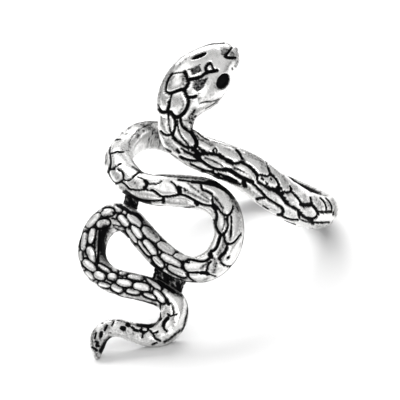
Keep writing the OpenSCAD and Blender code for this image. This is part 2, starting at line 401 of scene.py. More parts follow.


# Marks cut in the front, in millimetres to the right and up from the hoop's
# middle on the front view. Each stretch has its first and last station. Each
# mark has its half breadth, its depth, its share of black and its points. A
# mark of no depth is a soft painted shade.
MARKS = [
    # The head and the neck
    (0, 14, [
        # Plate of the crown: outer line, lower line, inner line
        (0.12, 0.24, 1, [(-5.46, 8.49), (-5.78, 8.03), (-5.98, 7.52), (-6.06, 7.16), (-6.04, 6.83),
            (-5.87, 6.68)]),
        (0.15, 0.24, 1, [(-5.96, 6.76), (-5.64, 6.66), (-5.32, 6.76), (-4.63, 6.98), (-4.31, 7.04)]),
        (0.17, 0.26, 1, [(-4.26, 8.62), (-4.04, 8.02), (-3.94, 7.71), (-4.02, 7.39), (-4.31, 7.02)]),
        # Brow line with its hook
        (0.16, 0.28, 1, [(-3.98, 7.86), (-3.67, 7.96), (-3.21, 8.04), (-2.8, 8.18), (-2.2, 8.57),
            (-1.74, 8.65), (-1.28, 8.73)]),
        (0.14, 0.26, 1, [(-2.24, 8.53), (-2.33, 8.83), (-2.29, 9.12), (-2.12, 9.34), (-1.94, 9.43)]),
        (0.1, 0.2, 0.85, [(-1.94, 9.43), (-1.78, 9.28), (-1.62, 8.86), (-1.41, 8.79)]),
        # Second plate, its notch and the black beside it
        (0.17, 0.28, 1, [(-4.27, 6.93), (-4.18, 6.61), (-3.89, 5.96), (-4.04, 5.23), (-4.29, 4.86),
            (-4.68, 4.53), (-5.05, 4.44), (-5.36, 4.62), (-5.56, 4.9)]),
        (0.15, 0.24, 1, [(-3.99, 6.3), (-3.72, 6.26), (-3.47, 6.28), (-3.23, 6.35)]),
        (0.09, 0.2, 1, [(-5.48, 6.65), (-5.63, 6.01), (-5.66, 5.69)]),
        (0.16, 0.26, 1, [(-5.75, 5.83), (-5.75, 5.5), (-5.87, 5.14), (-5.83, 4.86)]),
        (0.15, 0.24, 1, [(-6.83, 5.5), (-6.64, 5.19), (-6.4, 4.95), (-6.1, 4.92), (-5.73, 4.95)]),
        # Leaves of the neck
        (0.08, 0.2, 1, [(-5.75, 4.91), (-5.78, 4.13), (-5.74, 3.72), (-5.5, 2.98)]),
        (0.12, 0.24, 1, [(-5.41, 4.59), (-5.2, 4.27), (-5.12, 3.85), (-5.16, 3.44), (-5.3, 3.12),
            (-5.36, 2.8), (-5.28, 2.52)]),
        (0.12, 0.22, 1, [(-6.51, 3.18), (-6.29, 2.97), (-6, 2.84), (-5.69, 2.86), (-5.41, 2.94)]),
        (0.09, 0.1, 0.75, [(-4.92, 4.13), (-4.88, 3.67), (-4.77, 3.21), (-4.59, 2.8), (-4.31, 2.39),
            (-3.94, 2.04)]),
        (0.13, 0.26, 1, [(-4.65, 4.35), (-4.4, 3.67), (-3.8, 3.21), (-3.52, 2.97)]),
        (0.19, 0.28, 1, [(-3.61, 3.16), (-3.25, 2.51), (-3.17, 2.17), (-3.27, 1.8)]),
        (0.17, 0.26, 1, [(-5.28, 2.57), (-5, 2.29), (-4.31, 1.83), (-3.94, 1.72), (-3.58, 1.71),
            (-3.25, 1.78)]),
        (0.22, 0.26, 1, [(-3.49, 1.56), (-3.21, 1.32), (-2.94, 1.14), (-2.57, 1.16)]),
        (0.14, 0.24, 1, [(-2.57, 1.14), (-2.2, 1.08), (-1.83, 1.14), (-1.47, 1.05)]),
        (0.07, 0.18, 1, [(-1.45, 1.72), (-1.61, 1.56), (-1.69, 1.28), (-1.8, 1.1)]),
        (0.07, 0.18, 1, [(-1.45, 1.72), (-1.32, 1.47), (-1.32, 1.25), (-1.25, 1.01)]),
        # V mark of the nose and the spot behind it
        (0.11, 0.22, 1, [(0.02, 10.83), (-0.55, 10.02)]),
        (0.14, 0.22, 1, [(-0.55, 10.04), (-0.28, 9.91), (0.39, 9.87)]),
        (0.08, 0.1, 0.6, [(0.12, 8.94), (0.15, 8.81)]),
        # Mouth
        (0.07, 0.1, 0.6, [(-2.84, 5.69), (-2.39, 5.83), (-1.83, 5.87), (-1.38, 5.96), (-1.06, 6.11)]),
        (0.06, 0.06, 0.55, [(-1.1, 6.06), (-1.47, 5.74), (-2.29, 5.25)]),
        # Painted shade along the brow and the head's edges, on the throat and on the cheek
        (0.09, 0, 0.75, [(-3.85, 10.5), (-3.12, 10.83), (-2.29, 11.08), (-1.38, 11.23), (-0.64, 11.25)]),
        (0.06, 0.05, 0.6, [(-3.98, 8.84), (-3.63, 8.9), (-2.84, 9.32)]),
        (0.2, 0, 0.35, [(-3.12, 6.97), (-2.84, 6.42), (-2.94, 5.96)]),
        (0.2, 0, 0.42, [(0.55, 10.64), (0.59, 9.63), (0.42, 9.17)]),
        (0.18, 0, 0.4, [(-5.14, 9.17), (-5.87, 8.35), (-6.39, 7.43), (-6.61, 6.42), (-6.66, 5.69)]),
        (0.31, 0, 0.45, [(-3.39, 5.09), (-3.61, 4.5), (-3.52, 3.85), (-3.3, 3.3)]),
        (0.46, 0, 0.2, [(-2.11, 7.52), (-1.83, 6.7), (-2.29, 6.15)]),
        (0.2, 0, 0.35, [(-1.51, 7.52), (-1.28, 6.97)]),
        # Pits of the throat
        (0.1, 0.06, 0.95, [(-3.34, 5.05), (-3.39, 4.9)]),
        (0.08, 0.06, 0.95, [(-3.61, 4.77), (-3.49, 4.72)]),
        (0.09, 0.06, 0.95, [(-3.23, 4.59), (-3.3, 4.5)]),
        (0.06, 0.06, 0.9, [(-3.85, 4.46), (-3.8, 4.28)]),
        (0.09, 0.06, 0.95, [(-3.58, 4.35), (-3.45, 4.24)]),
        (0.06, 0.06, 0.9, [(-3.27, 4.09), (-3.17, 3.98)]),
        (0.1, 0.06, 0.95, [(-3.76, 3.98), (-3.61, 3.94)]),
        (0.07, 0.06, 0.9, [(-3.39, 3.82), (-3.43, 3.63)]),
        (0.09, 0.06, 0.95, [(-3.58, 3.45), (-3.34, 3.39)]),
        (0.07, 0.06, 0.9, [(-3.17, 3.58), (-3.12, 3.39)]),
        # Painted shades of the scales, and a few fine lines
        (0.13, 0, 0.5, [(-4.55, 6.15), (-4.4, 5.78), (-4.44, 5.32), (-4.72, 4.9)]),
        (0.11, 0, 0.55, [(-4.44, 8.26), (-4.35, 7.83), (-4.4, 7.43)]),
        (0.11, 0, 0.4, [(-5.38, 8.17), (-5.63, 7.74), (-5.71, 7.34)]),
        (0.1, 0, 0.5, [(-6.42, 4.5), (-6.31, 3.94), (-6.09, 3.39)]),
        (0.07, 0.1, 0.75, [(-5.38, 8.44), (-4.99, 8.53), (-4.28, 8.62)]),
        (0.11, 0, 0.4, [(-5.23, 8.17), (-5.47, 7.74), (-5.54, 7.25)]),
        (0.11, 0, 0.3, [(-4.64, 8.26), (-4.46, 7.8), (-4.68, 7.28)]),
        (0.18, 0, 0.35, [(-3.76, 10.09), (-4.5, 9.54), (-4.99, 8.99)]),
        (0.07, 0.08, 0.8, [(-3.16, 3.21), (-2.84, 2.88), (-2.48, 2.61), (-2.07, 2.39)]),
        (0.06, 0.04, 0.6, [(-3.12, 2.84), (-2.84, 2.44), (-2.29, 2.15), (-1.83, 1.87)]),
        (0.18, 0, 0.4, [(-2.94, 2.57), (-1.65, 1.96)]),
    ]),
    # The band
    (9, 20.8, [
        # Foot of the neck
        (0.11, 0.06, 0.85, [(-6.33, 1.65), (-5.56, 1.3)]),
        (0.13, 0.1, 0.9, [(-4.99, 1.5), (-4.79, 1.21)]),
        (0.2, 0, 0.42, [(-5.96, 2.2), (-5.5, 1.71), (-5.05, 1.38)]),
        (0.17, 0, 0.3, [(-5.78, 2.48), (-5.23, 1.83)]),
        (0.17, 0.12, 0.85, [(-4.26, 1.34), (-3.89, 1.19), (-3.21, 0.83)]),
        (0.08, 0.1, 0.9, [(-4.62, 1.6), (-4.26, 1.38)]),
        (0.14, 0.22, 1, [(-4.68, 0.79), (-4.31, 0.61), (-3.89, 0.48), (-3.45, 0.42), (-2.99, 0.46)]),
        (0.21, 0.22, 1, [(-3.01, 0.77), (-2.9, 0.55)]),
        (0.09, 0.1, 0.9, [(-3.76, 0.17), (-2.84, -0.28), (-2.48, -0.4)]),
        (0.11, 0.14, 0.95, [(-3.01, 1.72), (-2.29, 1.28), (-2.02, 1.23)]),
        # Below the upper row
        (0.15, 0.24, 1, [(-1.6, 1.23), (-0.83, 0.77), (-0.09, 0.28), (0.28, 0.22), (0.61, 0.26)]),
        (0.08, 0.1, 0.9, [(-1.1, 1.19), (-0.64, 0.84), (0.18, 0.4)]),
        (0.13, 0.2, 1, [(0.53, 1.49), (0.75, 1.25), (0.94, 0.95), (1.05, 0.7)]),
        (0.16, 0.24, 1, [(0.88, 0.39), (1.28, 0.22), (1.74, -0.06), (2.11, -0.42), (2.4, -0.79)]),
        (0.11, 0, 0.7, [(1.01, 0.51), (1.23, 0.5)]),
        # Below the middle row
        (0.15, 0.24, 1, [(-2.88, 0.55), (-2.11, -0.02), (-1.69, -0.26), (-1.19, -0.39), (-0.64, -0.39)]),
        (0.2, 0.24, 1, [(-0.64, -0.37), (-0.18, -0.42), (0.18, -0.61), (0.64, -0.94), (1.1, -1.17),
            (1.93, -1.5)]),
        (0.1, 0, 0.9, [(-2.39, 0.77), (-1.41, 0.35), (-0.95, 0.11), (-0.79, -0.04)]),
        (0.1, 0, 0.9, [(0.22, -0.17), (0.7, -0.35), (1.19, -0.61)]),
        (0.17, 0, 0.35, [(1.19, -0.55), (1.65, -0.86), (1.83, -1.1)]),
        # Lower edge
        (0.11, 0.12, 1, [(-2.7, -0.42), (-2.2, -0.51), (-1.65, -0.55)]),
        (0.13, 0.1, 1, [(-2.59, -0.62), (-2.11, -0.88), (-1.56, -1.03), (-1.1, -1.1)]),
        (0.09, 0.06, 0.8, [(-1.1, -1.1), (-0.55, -1.23), (0, -1.41)]),
        (0.1, 0.12, 0.95, [(-1.74, -0.64), (-1.16, -0.97)]),
        (0.12, 0.16, 0.95, [(-1.19, -0.75), (-0.64, -0.99), (-0.09, -1.19), (0.46, -1.45)]),
        (0.1, 0.1, 0.9, [(-0.18, -1.43), (0.28, -1.58), (0.83, -1.71)]),
        (0.21, 0.2, 1, [(1.14, -1.56), (1.25, -1.87)]),
        (0.13, 0.22, 1, [(2.06, -1.74), (2.75, -2.39), (3.39, -3.08), (4.28, -3.61)]),
        (0.15, 0.22, 1, [(4.22, -3.6), (4.59, -3.82), (4.77, -4.07), (4.77, -4.31), (4.62, -4.5)]),
        (0.13, 0.2, 1, [(2.33, -3.08), (3.12, -2.94)]),
        (0.13, 0.18, 1, [(4.28, -4.51), (4.64, -4.55)]),
        (0.1, 0.14, 1, [(4.59, -4.59), (5.05, -4.81), (5.6, -4.97), (6.15, -4.99)]),
        (0.09, 0.06, 0.8, [(4.95, -5.1), (5.41, -5.28), (5.87, -5.41)]),
        (0.08, 0.04, 0.85, [(2.94, -3.67), (3.39, -3.94)]),
        (0.06, 0, 0.5, [(2.33, -3.3), (2.7, -3.54)]),
        # Fork and the hatched scale
        (0.07, 0.16, 1, [(3.25, 0.46), (3.47, -0.18)]),
        (0.12, 0.22, 1, [(3.47, -0.18), (3.65, -0.73)]),
        (0.12, 0.2, 1, [(3.63, -0.75), (3.39, -0.92), (3.06, -0.86), (2.7, -0.79), (2.44, -0.86)]),
        (0.12, 0.22, 1, [(3.67, -0.73), (4.04, -1.01), (4.29, -1.38), (4.57, -2.06)]),
        (0.11, 0.22, 1, [(2.48, -0.86), (2.39, -1.19), (2.53, -1.49)]),
        (0.16, 0.24, 1, [(2.53, -1.49), (3.25, -1.93), (3.58, -2.07)]),
        (0.21, 0.24, 1, [(3.58, -2.09), (4.04, -2.2), (4.4, -2.44), (4.68, -2.75)]),
        (0.21, 0.22, 1, [(4.35, -1.98), (4.55, -2.06)]),
        (0.2, 0.24, 1, [(4.68, -2.72), (5.17, -3.45)]),
        (0.13, 0.22, 1, [(5.17, -3.47), (5.54, -3.74), (6.24, -4.07)]),
        (0.12, 0.08, 0.95, [(2.84, -1.16), (2.94, -1.25)]),
        (0.09, 0.08, 0.95, [(3.17, -1.5), (3.36, -1.69)]),
        (0.1, 0.08, 0.95, [(3.69, -1.16), (3.71, -1.25)]),
        # Right end
        (0.09, 0.16, 1, [(5.43, -1.8), (5.56, -2.04)]),
        (0.13, 0.22, 1, [(5.56, -2.04), (5.56, -2.28), (5.27, -2.42), (4.81, -2.37)]),
        (0.12, 0.22, 1, [(5.65, -2.35), (6.28, -3.03), (6.46, -3.39)]),
        (0.19, 0.22, 1, [(6.48, -3.52), (6.88, -3.6), (7.34, -3.54)]),
        (0.1, 0.16, 1, [(7.34, -2.86), (7.5, -3.49)]),
        (0.14, 0.22, 1, [(7.47, -3.49), (7.98, -4.13), (8.06, -4.46)]),
        (0.12, 0.2, 1, [(6.22, -4.07), (6.24, -4.4), (6.31, -4.73)]),
        (0.15, 0.22, 1, [(6.37, -4.28), (6.61, -4.59), (6.94, -4.81), (7.34, -4.9)]),
        (0.12, 0.2, 1, [(7.34, -4.9), (7.71, -4.84), (7.93, -4.7)]),
        (0.09, 0.16, 1, [(8.26, -2.9), (8.57, -3.21), (8.77, -3.58), (8.84, -4)]),
        (0.08, 0.14, 1, [(8.77, -2.9), (9.12, -3.27), (9.32, -3.67), (9.34, -4.09)]),
        (0.13, 0.2, 1, [(8.07, -4.2), (8.5, -4.26), (8.94, -4.22), (9.27, -4.24)]),
        (0.08, 0.1, 0.8, [(9.54, -4.22), (9.45, -4.53)]),
        (0.17, 0.2, 1, [(7.43, -5.08), (7.56, -5.32)]),
        (0.1, 0.14, 1, [(7.56, -5.19), (8.02, -5.25), (9.08, -5.23)]),
        (0.08, 0.05, 0.7, [(6.33, -4.86), (6.79, -5.06), (7.34, -5.23)]),
        # Painted greys: shade in the scales and along the top edge
        (0.08, 0, 0.45, [(-1.74, 2.26), (0, 1.76), (0.73, 1.5), (1.47, 1.34)]),
        (0.31, 0, 0.42, [(1.47, 1.16), (2.11, 0.83), (2.75, 0.5), (3.03, 0)]),
        (0.17, 0, 0.3, [(-0.55, 1.61), (0.09, 1.38), (0.55, 1.01)]),
        (0.17, 0, 0.35, [(4.77, -0.92), (5.14, -1.56), (5.23, -2.02)]),
        (0.33, 0, 0.28, [(6.7, -2.84), (6.97, -3.21)]),
        (0.33, 0, 0.38, [(7.89, -3.12), (8.26, -3.67)]),
        (0.22, 0, 0.42, [(8.95, -3.21), (9.14, -3.76)]),
        (0.22, 0, 0.45, [(9.41, -3.12), (9.63, -3.76), (9.69, -4.5)]),
        (0.2, 0, 0.3, [(7.98, -5.54), (8.9, -5.6), (9.45, -5.32)]),
        (0.29, 0, 0.22, [(5.23, -2.75), (5.78, -3.39)]),
        (0.28, 0, 0.3, [(1.56, -2.02), (2.48, -2.84)]),
        (0.28, 0, 0.25, [(2.84, -3.49), (4.04, -4.13)]),
        (0.26, 0, 0.2, [(5.32, -4.22), (5.78, -4.59)]),
        (0.31, 0, 0.24, [(6.79, -4), (7.34, -4.35)]),
        (0.26, 0, 0.24, [(2.84, -2.11), (3.58, -2.66), (4.22, -3.21)]),
    ]),
    # Inside of the hoop beyond the band
    (19, 24, [
        (0.1, 0.03, 0.95, [(4.77, -0.79), (5.5, -1.19)]),
        (0.23, 0.03, 0.95, [(5.47, -1.17), (6.06, -1.56), (6.79, -1.98), (7.34, -2.24)]),
        (0.28, 0.03, 0.9, [(6.15, -1.71), (7.16, -2.18)]),
        (0.17, 0.03, 0.9, [(7.06, -2.11), (8.26, -2.48)]),
    ]),
    # Back of the hoop left of the neck, with painted shade along its outline and on its inner wall by the
    # neck
    (20, 27.5, [
        (0.17, 0, 0.5, [(-10, 3.72), (-9.08, 4.04), (-7.25, 4.26)]),
        (0.06, 0.04, 0.65, [(-7.25, 4.07), (-7.98, 3.72), (-8.72, 3.25), (-9.23, 2.66), (-9.39, 2.02),
            (-9.3, 1.28), (-9.03, 0.64)]),
        (0.37, 0, 0.6, [(-7.71, 3.67), (-7.06, 3.3), (-6.7, 2.66)]),
        (0.22, 0, 0.35, [(-8.53, 3.16), (-8.9, 2.57)]),
        (0.07, 0.04, 0.85, [(-7.61, 2.57), (-7.39, 2.29)]),
        (0.07, 0.04, 0.85, [(-7.25, 2.97), (-6.97, 2.75)]),
        (0.08, 0.04, 0.85, [(-6.79, 2.61), (-6.51, 2.29)]),
        (0.06, 0.04, 0.85, [(-8.31, 3.21), (-8.02, 3.39)]),
        (0.06, 0.04, 0.75, [(-8.62, 2.7), (-8.44, 2.88)]),
        (0.06, 0.04, 0.6, [(-10.18, 3.17), (-10, 3.08)]),
        (0.06, 0.04, 0.6, [(-9.76, 2.97), (-9.61, 3.06)]),
        (0.06, 0.04, 0.5, [(-9.54, 3.49), (-9.32, 3.58)]),
    ]),
    # The left bend and the second run
    (24.6, 35.5, [
        (0.15, 0, 0.5, [(-11.28, 3.58), (-11.49, 2.57), (-11.56, 1.47), (-11.52, 0.28)]),
        (0.07, 0.12, 0.9, [(-10.33, 3.03), (-10.57, 2.75), (-10.88, 2.44), (-11.06, 2.11)]),
        (0.09, 0.16, 0.85, [(-11.08, 2.39), (-11.19, 1.83), (-11.25, 1.28)]),
        (0.11, 0.2, 1, [(-11.23, 1.23), (-11.14, 0.73), (-11.12, 0.22), (-11.25, -0.24)]),
        (0.08, 0.16, 1, [(-11.1, 2.37), (-10.24, 2.57)]),
        (0.09, 0.16, 1, [(-11.23, 1.16), (-10.51, 1.38), (-10.22, 1.34), (-9.87, 1.38)]),
        (0.05, 0.06, 0.5, [(-9.82, 1.39), (-9.6, 1.47), (-9.36, 1.45)]),
        (0.08, 0.16, 1, [(-11.23, -0.28), (-10.86, -0.13), (-10.51, 0.09), (-10.15, 0.28)]),
        (0.11, 0.22, 1, [(-10.79, -0.24), (-11.25, -0.31), (-11.34, -0.64), (-11.17, -1.1), (-10.92, -1.47),
            (-10.62, -1.61), (-10.24, -1.43), (-10, -1.19), (-9.93, -0.83), (-10.07, -0.5),
            (-10.39, -0.29)]),
        (0.09, 0.2, 1, [(-9.96, -1.23), (-9.69, -1.3), (-9.36, -1.25), (-8.81, -0.79), (-8.51, -0.53),
            (-8.22, -0.55)]),
        (0.07, 0.14, 0.8, [(-8.57, -0.97), (-8.07, -1.16)]),
        (0.17, 0.24, 1, [(-7.93, -1.34), (-7.74, -1.52), (-7.89, -1.83), (-7.98, -2.07)]),
        (0.11, 0.2, 1, [(-8.02, -1.98), (-7.69, -2.22)]),
        (0.1, 0.2, 1, [(-10.22, -1.45), (-9.91, -1.6), (-9.61, -1.85), (-9.36, -2.11), (-8.99, -2.17),
            (-8.53, -2.22), (-8.04, -2.13)]),
        (0.08, 0.16, 1, [(-7.49, -1.6), (-7.12, -1.61), (-6.75, -1.6), (-6.4, -1.36)]),
        (0.08, 0.16, 0.9, [(-5.54, -1.38), (-5.28, -1.6), (-5.05, -1.87)]),
        (0.21, 0.26, 1, [(-4.9, -1.98), (-4.75, -2.28), (-4.77, -2.57)]),
        (0.12, 0.26, 1, [(-7.38, -2.22), (-7.05, -2.33), (-6.48, -2.81), (-5.96, -2.86), (-5.38, -2.79),
            (-4.86, -2.66), (-4.4, -2.7), (-3.94, -2.86), (-3.03, -3.39), (-2.57, -3.6), (-2.11, -3.67),
            (-1.74, -3.61)]),
        (0.16, 0.24, 1, [(-6.28, -2.94), (-6.22, -3.36)]),
        (0.08, 0.1, 0.8, [(-4.72, -1.91), (-4.04, -2.2)]),
        (0.1, 0.16, 1, [(-9.27, -2.79), (-8.53, -3.1), (-7.8, -3.21), (-7.06, -3.25), (-6.42, -3.21)]),
        (0.06, 0.1, 0.85, [(-7.8, -3.43), (-7.06, -3.63), (-5.23, -3.8), (-4.13, -3.82), (-3.39, -3.76)]),
        (0.17, 0.18, 0.9, [(-3.25, -3.39), (-3.12, -3.58)]),
        # Painted shade streaks in the scales, and the joint before the right bend
        (0.1, 0, 0.6, [(-3.94, -1.61), (-2.06, -3.08)]),
        (0.11, 0.16, 1, [(-2.75, -1.8), (-2.62, -2.15), (-2.2, -2.31), (-1.78, -2.53)]),
        (0.09, 0.18, 1, [(-1.76, -2.51), (-1.69, -3.3)]),
        (0.12, 0.24, 1, [(-1.76, -3.12), (-1.71, -3.49), (-1.8, -3.76)]),
        (0.08, 0.08, 0.75, [(-1.6, -2.79), (-1.28, -3.12), (-0.61, -3.98)]),
        (0.28, 0, 0.4, [(-8.9, -1.52), (-8.59, -1.71)]),
        (0.28, 0, 0.22, [(-8.72, -2.57), (-7.43, -2.84)]),
        (0.24, 0, 0.25, [(-5.69, -3.21), (-4.13, -3.39)]),
        (0.11, 0, 0.5, [(-4.31, -2.29), (-3.58, -2.57), (-2.11, -3.3)]),
        (0.09, 0, 0.5, [(-3.67, -1.89), (-2.11, -2.81)]),
        (0.15, 0, 0.4, [(-10.18, -1.93), (-9.36, -2.39)]),
        (0.29, 0, 0.25, [(-10.77, -0.64), (-10.51, -1.05)]),
        (0.14, 0, 0.7, [(-6.33, -0.84), (-4.5, -1.03), (-3.39, -1.1), (-2.48, -1.25)]),
        (0.12, 0, 0.85, [(-9.08, -0.06), (-8.35, -0.44), (-7.43, -0.68), (-6.33, -0.83)]),
        (0.22, 0, 0.3, [(-9.63, 0.15), (-9.17, -0.09)]),
        (0.29, 0.06, 1, [(-9.72, -2.51), (-9.08, -2.97), (-8.44, -3.27), (-7.61, -3.49)]),
    ]),
    # The right bend
    (32.5, 42.3, [
        # Black shoulder
        (0.08, 0.06, 0.95, [(-5.05, -1.23), (-3.12, -1.47)]),
        (0.15, 0.08, 1, [(-3.58, -1.43), (-2.66, -1.52), (-1.83, -1.65)]),
        (0.26, 0.08, 1, [(-2.11, -1.5), (-1.38, -1.65), (-0.73, -1.93)]),
        (0.29, 0.06, 1, [(-0.83, -1.87), (-0.22, -2.26), (0.22, -2.75)]),
        (0.28, 0, 0.65, [(-0.18, -2.57), (0.5, -3.58), (0.68, -4.04)]),
        # Inner grooves
        (0.14, 0.24, 1, [(-1.78, -3.63), (-1.54, -4), (-1.38, -4.46), (-1.41, -4.92), (-1.54, -5.23),
            (-1.43, -5.65), (-1.23, -6), (-0.97, -6.28)]),
        (0.21, 0.2, 1, [(-1.58, -5.1), (-1.54, -5.27)]),
        (0.11, 0.24, 1, [(-1.56, -3.49), (-1.01, -4.15), (-0.73, -4.39), (-0.46, -4.5), (-0.18, -4.44),
            (0.04, -4.22), (0.18, -3.91), (0.22, -3.67)]),
        (0.12, 0.22, 1, [(-0.31, -4.53), (-0.37, -4.95), (-0.31, -5.41), (-0.4, -5.78), (-0.59, -6.09),
            (-0.86, -6.31)]),
        (0.09, 0.14, 0.95, [(0.02, -4.59), (0.04, -5.14), (-0.02, -6.42)]),
        (0.1, 0.2, 1, [(-0.64, -6.5), (-0.55, -6.86), (-0.28, -7.1), (0.02, -7.12), (0.37, -6.94),
            (0.81, -6.42)]),
        (0.08, 0.12, 0.8, [(0.92, -6.2), (0.95, -6.37)]),
        (0.15, 0.24, 1, [(-0.97, -6.29), (-1.14, -6.7), (-1.23, -7.06), (-1.38, -7.43), (-1.63, -7.69),
            (-1.87, -7.76)]),
        (0.11, 0.22, 1, [(-0.68, -6.33), (-0.61, -6.79), (-0.4, -7.16), (-0.37, -7.52)]),
        (0.16, 0.24, 1, [(-0.42, -7.49), (-0.59, -7.87), (-0.84, -8.17), (-1.1, -8.4)]),
        (0.09, 0.18, 1, [(-1.1, -8.44), (-0.92, -8.79), (-0.64, -9.06), (-0.37, -9.21), (-0.06, -9.23)]),
        (0.12, 0.14, 0.95, [(-0.29, -8.44), (-0.17, -8.33)]),
        (0.21, 0.22, 1, [(-1.96, -8.04), (-1.85, -8.29)]),
        (0.12, 0.24, 1, [(-2.02, -8.44), (-2.42, -8.68), (-2.94, -8.68), (-3.49, -8.55), (-3.94, -8.51),
            (-4.31, -8.72)]),
        (0.11, 0.24, 1, [(-4.31, -8.72), (-4.42, -9.08), (-4.31, -9.45), (-4.07, -9.72), (-3.67, -9.78),
            (-3.03, -9.76)]),
        (0.09, 0.18, 1, [(-4.13, -9.91), (-3.82, -10.28), (-3.49, -10.55), (-3.16, -10.75)]),
        (0.17, 0.2, 1, [(-2.75, -9.8), (-2.42, -9.82), (-2.11, -9.91)]),
        (0.11, 0.2, 1, [(-1.87, -8.72), (-2.11, -9.08), (-2.26, -9.72)]),
        (0.07, 0.16, 1, [(-2.11, -9.91), (-1.41, -10.15)]),
        # Painted shade in the scales of the bend
        (0.23, 0, 0.62, [(-1.5, -8.62), (-1.43, -9.17), (-1.6, -9.63)]),
        (0.17, 0, 0.62, [(-0.06, -6.06), (-0.09, -6.79)]),
        (0.11, 0, 0.66, [(-0.95, -4.18), (-0.68, -4.62), (-0.59, -5.05), (-0.66, -5.5), (-0.86, -5.96)]),
        (0.17, 0, 0.6, [(-0.68, -6.61), (-0.72, -7.16), (-1.16, -8.07)]),
        (0.17, 0, 0.42, [(-0.39, -7.71), (-0.79, -8.62)]),
        (0.15, 0, 0.66, [(-1.47, -2.9), (-1.14, -3.3), (-0.75, -3.94)]),
        (0.26, 0, 0.22, [(0.7, -4.22), (0.86, -5.32), (0.79, -6.24)]),
        (0.17, 0, 0.7, [(-2.7, -9.36), (-2.11, -8.81)]),
        (0.18, 0, 0.3, [(-2.11, -10.28), (-2.84, -10.61), (-3.76, -10.46)]),
    ]),
    # The left turns below
    (41.5, 57.5, [
        (0.51, 0, 1, [(-11.56, -5.78), (-11.83, -6.42), (-11.93, -7.16), (-11.69, -7.89), (-11.19, -8.53)]),
        (0.13, 0, 0.95, [(-11.47, -11.61), (-10.18, -12.02), (-8.53, -12.33), (-6.88, -12.7)]),
        (0.2, 0.06, 0.8, [(-8.99, -4.28), (-8.53, -4.53), (-8.17, -4.92)]),
        (0.24, 0, 0.6, [(-8.17, -4.9), (-7.25, -5.96), (-6.79, -6.42)]),
        (0.17, 0.06, 0.95, [(-10.37, -3.61), (-9.82, -3.85), (-9.17, -4.31)]),
    ]),
    # Round the lower webs
    (37, 47, [
        (0.2, 0.05, 1, [(-7.25, -8.99), (-6.7, -9.54), (-5.96, -10.06), (-5.14, -10.46), (-4.31, -10.73),
            (-3.67, -10.83)]),
    ]),
    # The last bend and the tail
    (53.5, 69, [
        (0.17, 0.05, 1, [(-7.52, -10.15), (-6.97, -10.42), (-5.23, -11.52)]),
        (0.24, 0, 0.75, [(-5.6, -11.38), (-4.5, -11.87)]),
        (0.17, 0.2, 1, [(-5.91, -12.29), (-5.74, -12.66)]),
        (0.07, 0.16, 1, [(-5.5, -12.57), (-5.32, -13.08), (-5.23, -13.67)]),
        (0.11, 0.14, 0.95, [(-5.82, -13.58), (-5.69, -13.69)]),
        (0.07, 0.14, 1, [(-5.6, -13.78), (-4.95, -13.58)]),
        (0.17, 0.2, 1, [(-5.83, -13.94), (-6.13, -14.26), (-6.22, -14.59)]),
        (0.11, 0.16, 1, [(-6.22, -14.59), (-6.11, -14.9), (-5.87, -15.14)]),
        (0.12, 0, 0.85, [(-4.31, -11.65), (-4.04, -12.29), (-3.94, -13.03), (-4.31, -14.68),
            (-4.59, -15.14)]),
        (0.15, 0, 0.8, [(-4.68, -15.1), (-5.6, -15.82), (-6.15, -16.15)]),
        (0.24, 0, 0.35, [(-5.32, -13.94), (-5.28, -14.77)]),
        (0.07, 0.06, 0.8, [(-6.46, -12.57), (-6.5, -13.21), (-6.46, -13.85)]),
        (0.09, 0.08, 0.9, [(-10.37, -14.07), (-9.91, -14.04), (-9.45, -14.07), (-8.99, -14.24)]),
        (0.16, 0.12, 1, [(-6.51, -13.98), (-6.88, -14.17), (-7.16, -14.5), (-7.43, -14.66), (-8.07, -14.61),
            (-8.53, -14.53)]),
        (0.2, 0.16, 1, [(-9.49, -14.5), (-9.39, -14.55)]),
        (0.23, 0.16, 1, [(-9.94, -14.86), (-9.83, -14.9)]),
        (0.12, 0.14, 1, [(-9.08, -14.75), (-8.88, -14.88)]),
        (0.12, 0.16, 1, [(-8.9, -15.01), (-8.44, -15.06), (-8.17, -14.86)]),
        (0.09, 0.14, 1, [(-7.65, -14.72), (-7.58, -14.95), (-7.74, -15.16), (-8.02, -15.17)]),
        (0.11, 0.16, 1, [(-8.26, -15.14), (-7.93, -15.23), (-8.06, -15.41), (-8.17, -15.69)]),
        (0.09, 0.16, 1, [(-7.43, -15.05), (-7.16, -15.32), (-6.7, -15.14)]),
        (0.11, 0.16, 1, [(-7.16, -15.32), (-6.94, -15.78), (-6.51, -16.06)]),
        (0.09, 0.14, 1, [(-7.25, -16.42), (-6.79, -16.24)]),
        (0.09, 0.14, 0.9, [(-10.92, -14.59), (-10.73, -14.18)]),
        (0.1, 0.14, 1, [(-11.56, -15.05), (-11.38, -14.59)]),
        (0.16, 0.16, 1, [(-11.89, -15.27), (-11.93, -15.6)]),
        (0.09, 0.14, 1, [(-12.52, -15.78), (-12.39, -15.23)]),
        (0.1, 0.14, 1, [(-12.48, -16.06), (-12.2, -16.15), (-12.39, -16.42), (-12.11, -16.51)]),
        (0.11, 0.14, 1, [(-12.75, -16.61), (-12.29, -16.88)]),
        (0.07, 0.08, 0.5, [(-11.16, -15.32), (-11.03, -15.32)]),
        (0.07, 0.08, 0.5, [(-11.87, -14.4), (-11.78, -14.4)]),
        # Painted shadow on the tail's flank by its tip, and painted shade of the tip and along the tail's
        # lower side
        (0.29, 0, 1, [(-11.1, -15.87), (-11.56, -16.33), (-11.93, -16.97)]),
        (0.2, 0, 0.5, [(-12.57, -15.05), (-12.72, -15.78), (-12.66, -16.51), (-12.39, -17.06)]),
        (0.24, 0, 0.5, [(-12.44, -16.88), (-12.24, -17.52)]),
        (0.46, 0, 0.4, [(-11.28, -14.86), (-11.93, -15.5), (-12.29, -16.42)]),
        (0.55, 0, 0.22, [(-5.96, -15.6), (-7.43, -15.78), (-8.81, -15.32), (-10.18, -15.14)]),
    ]),
]

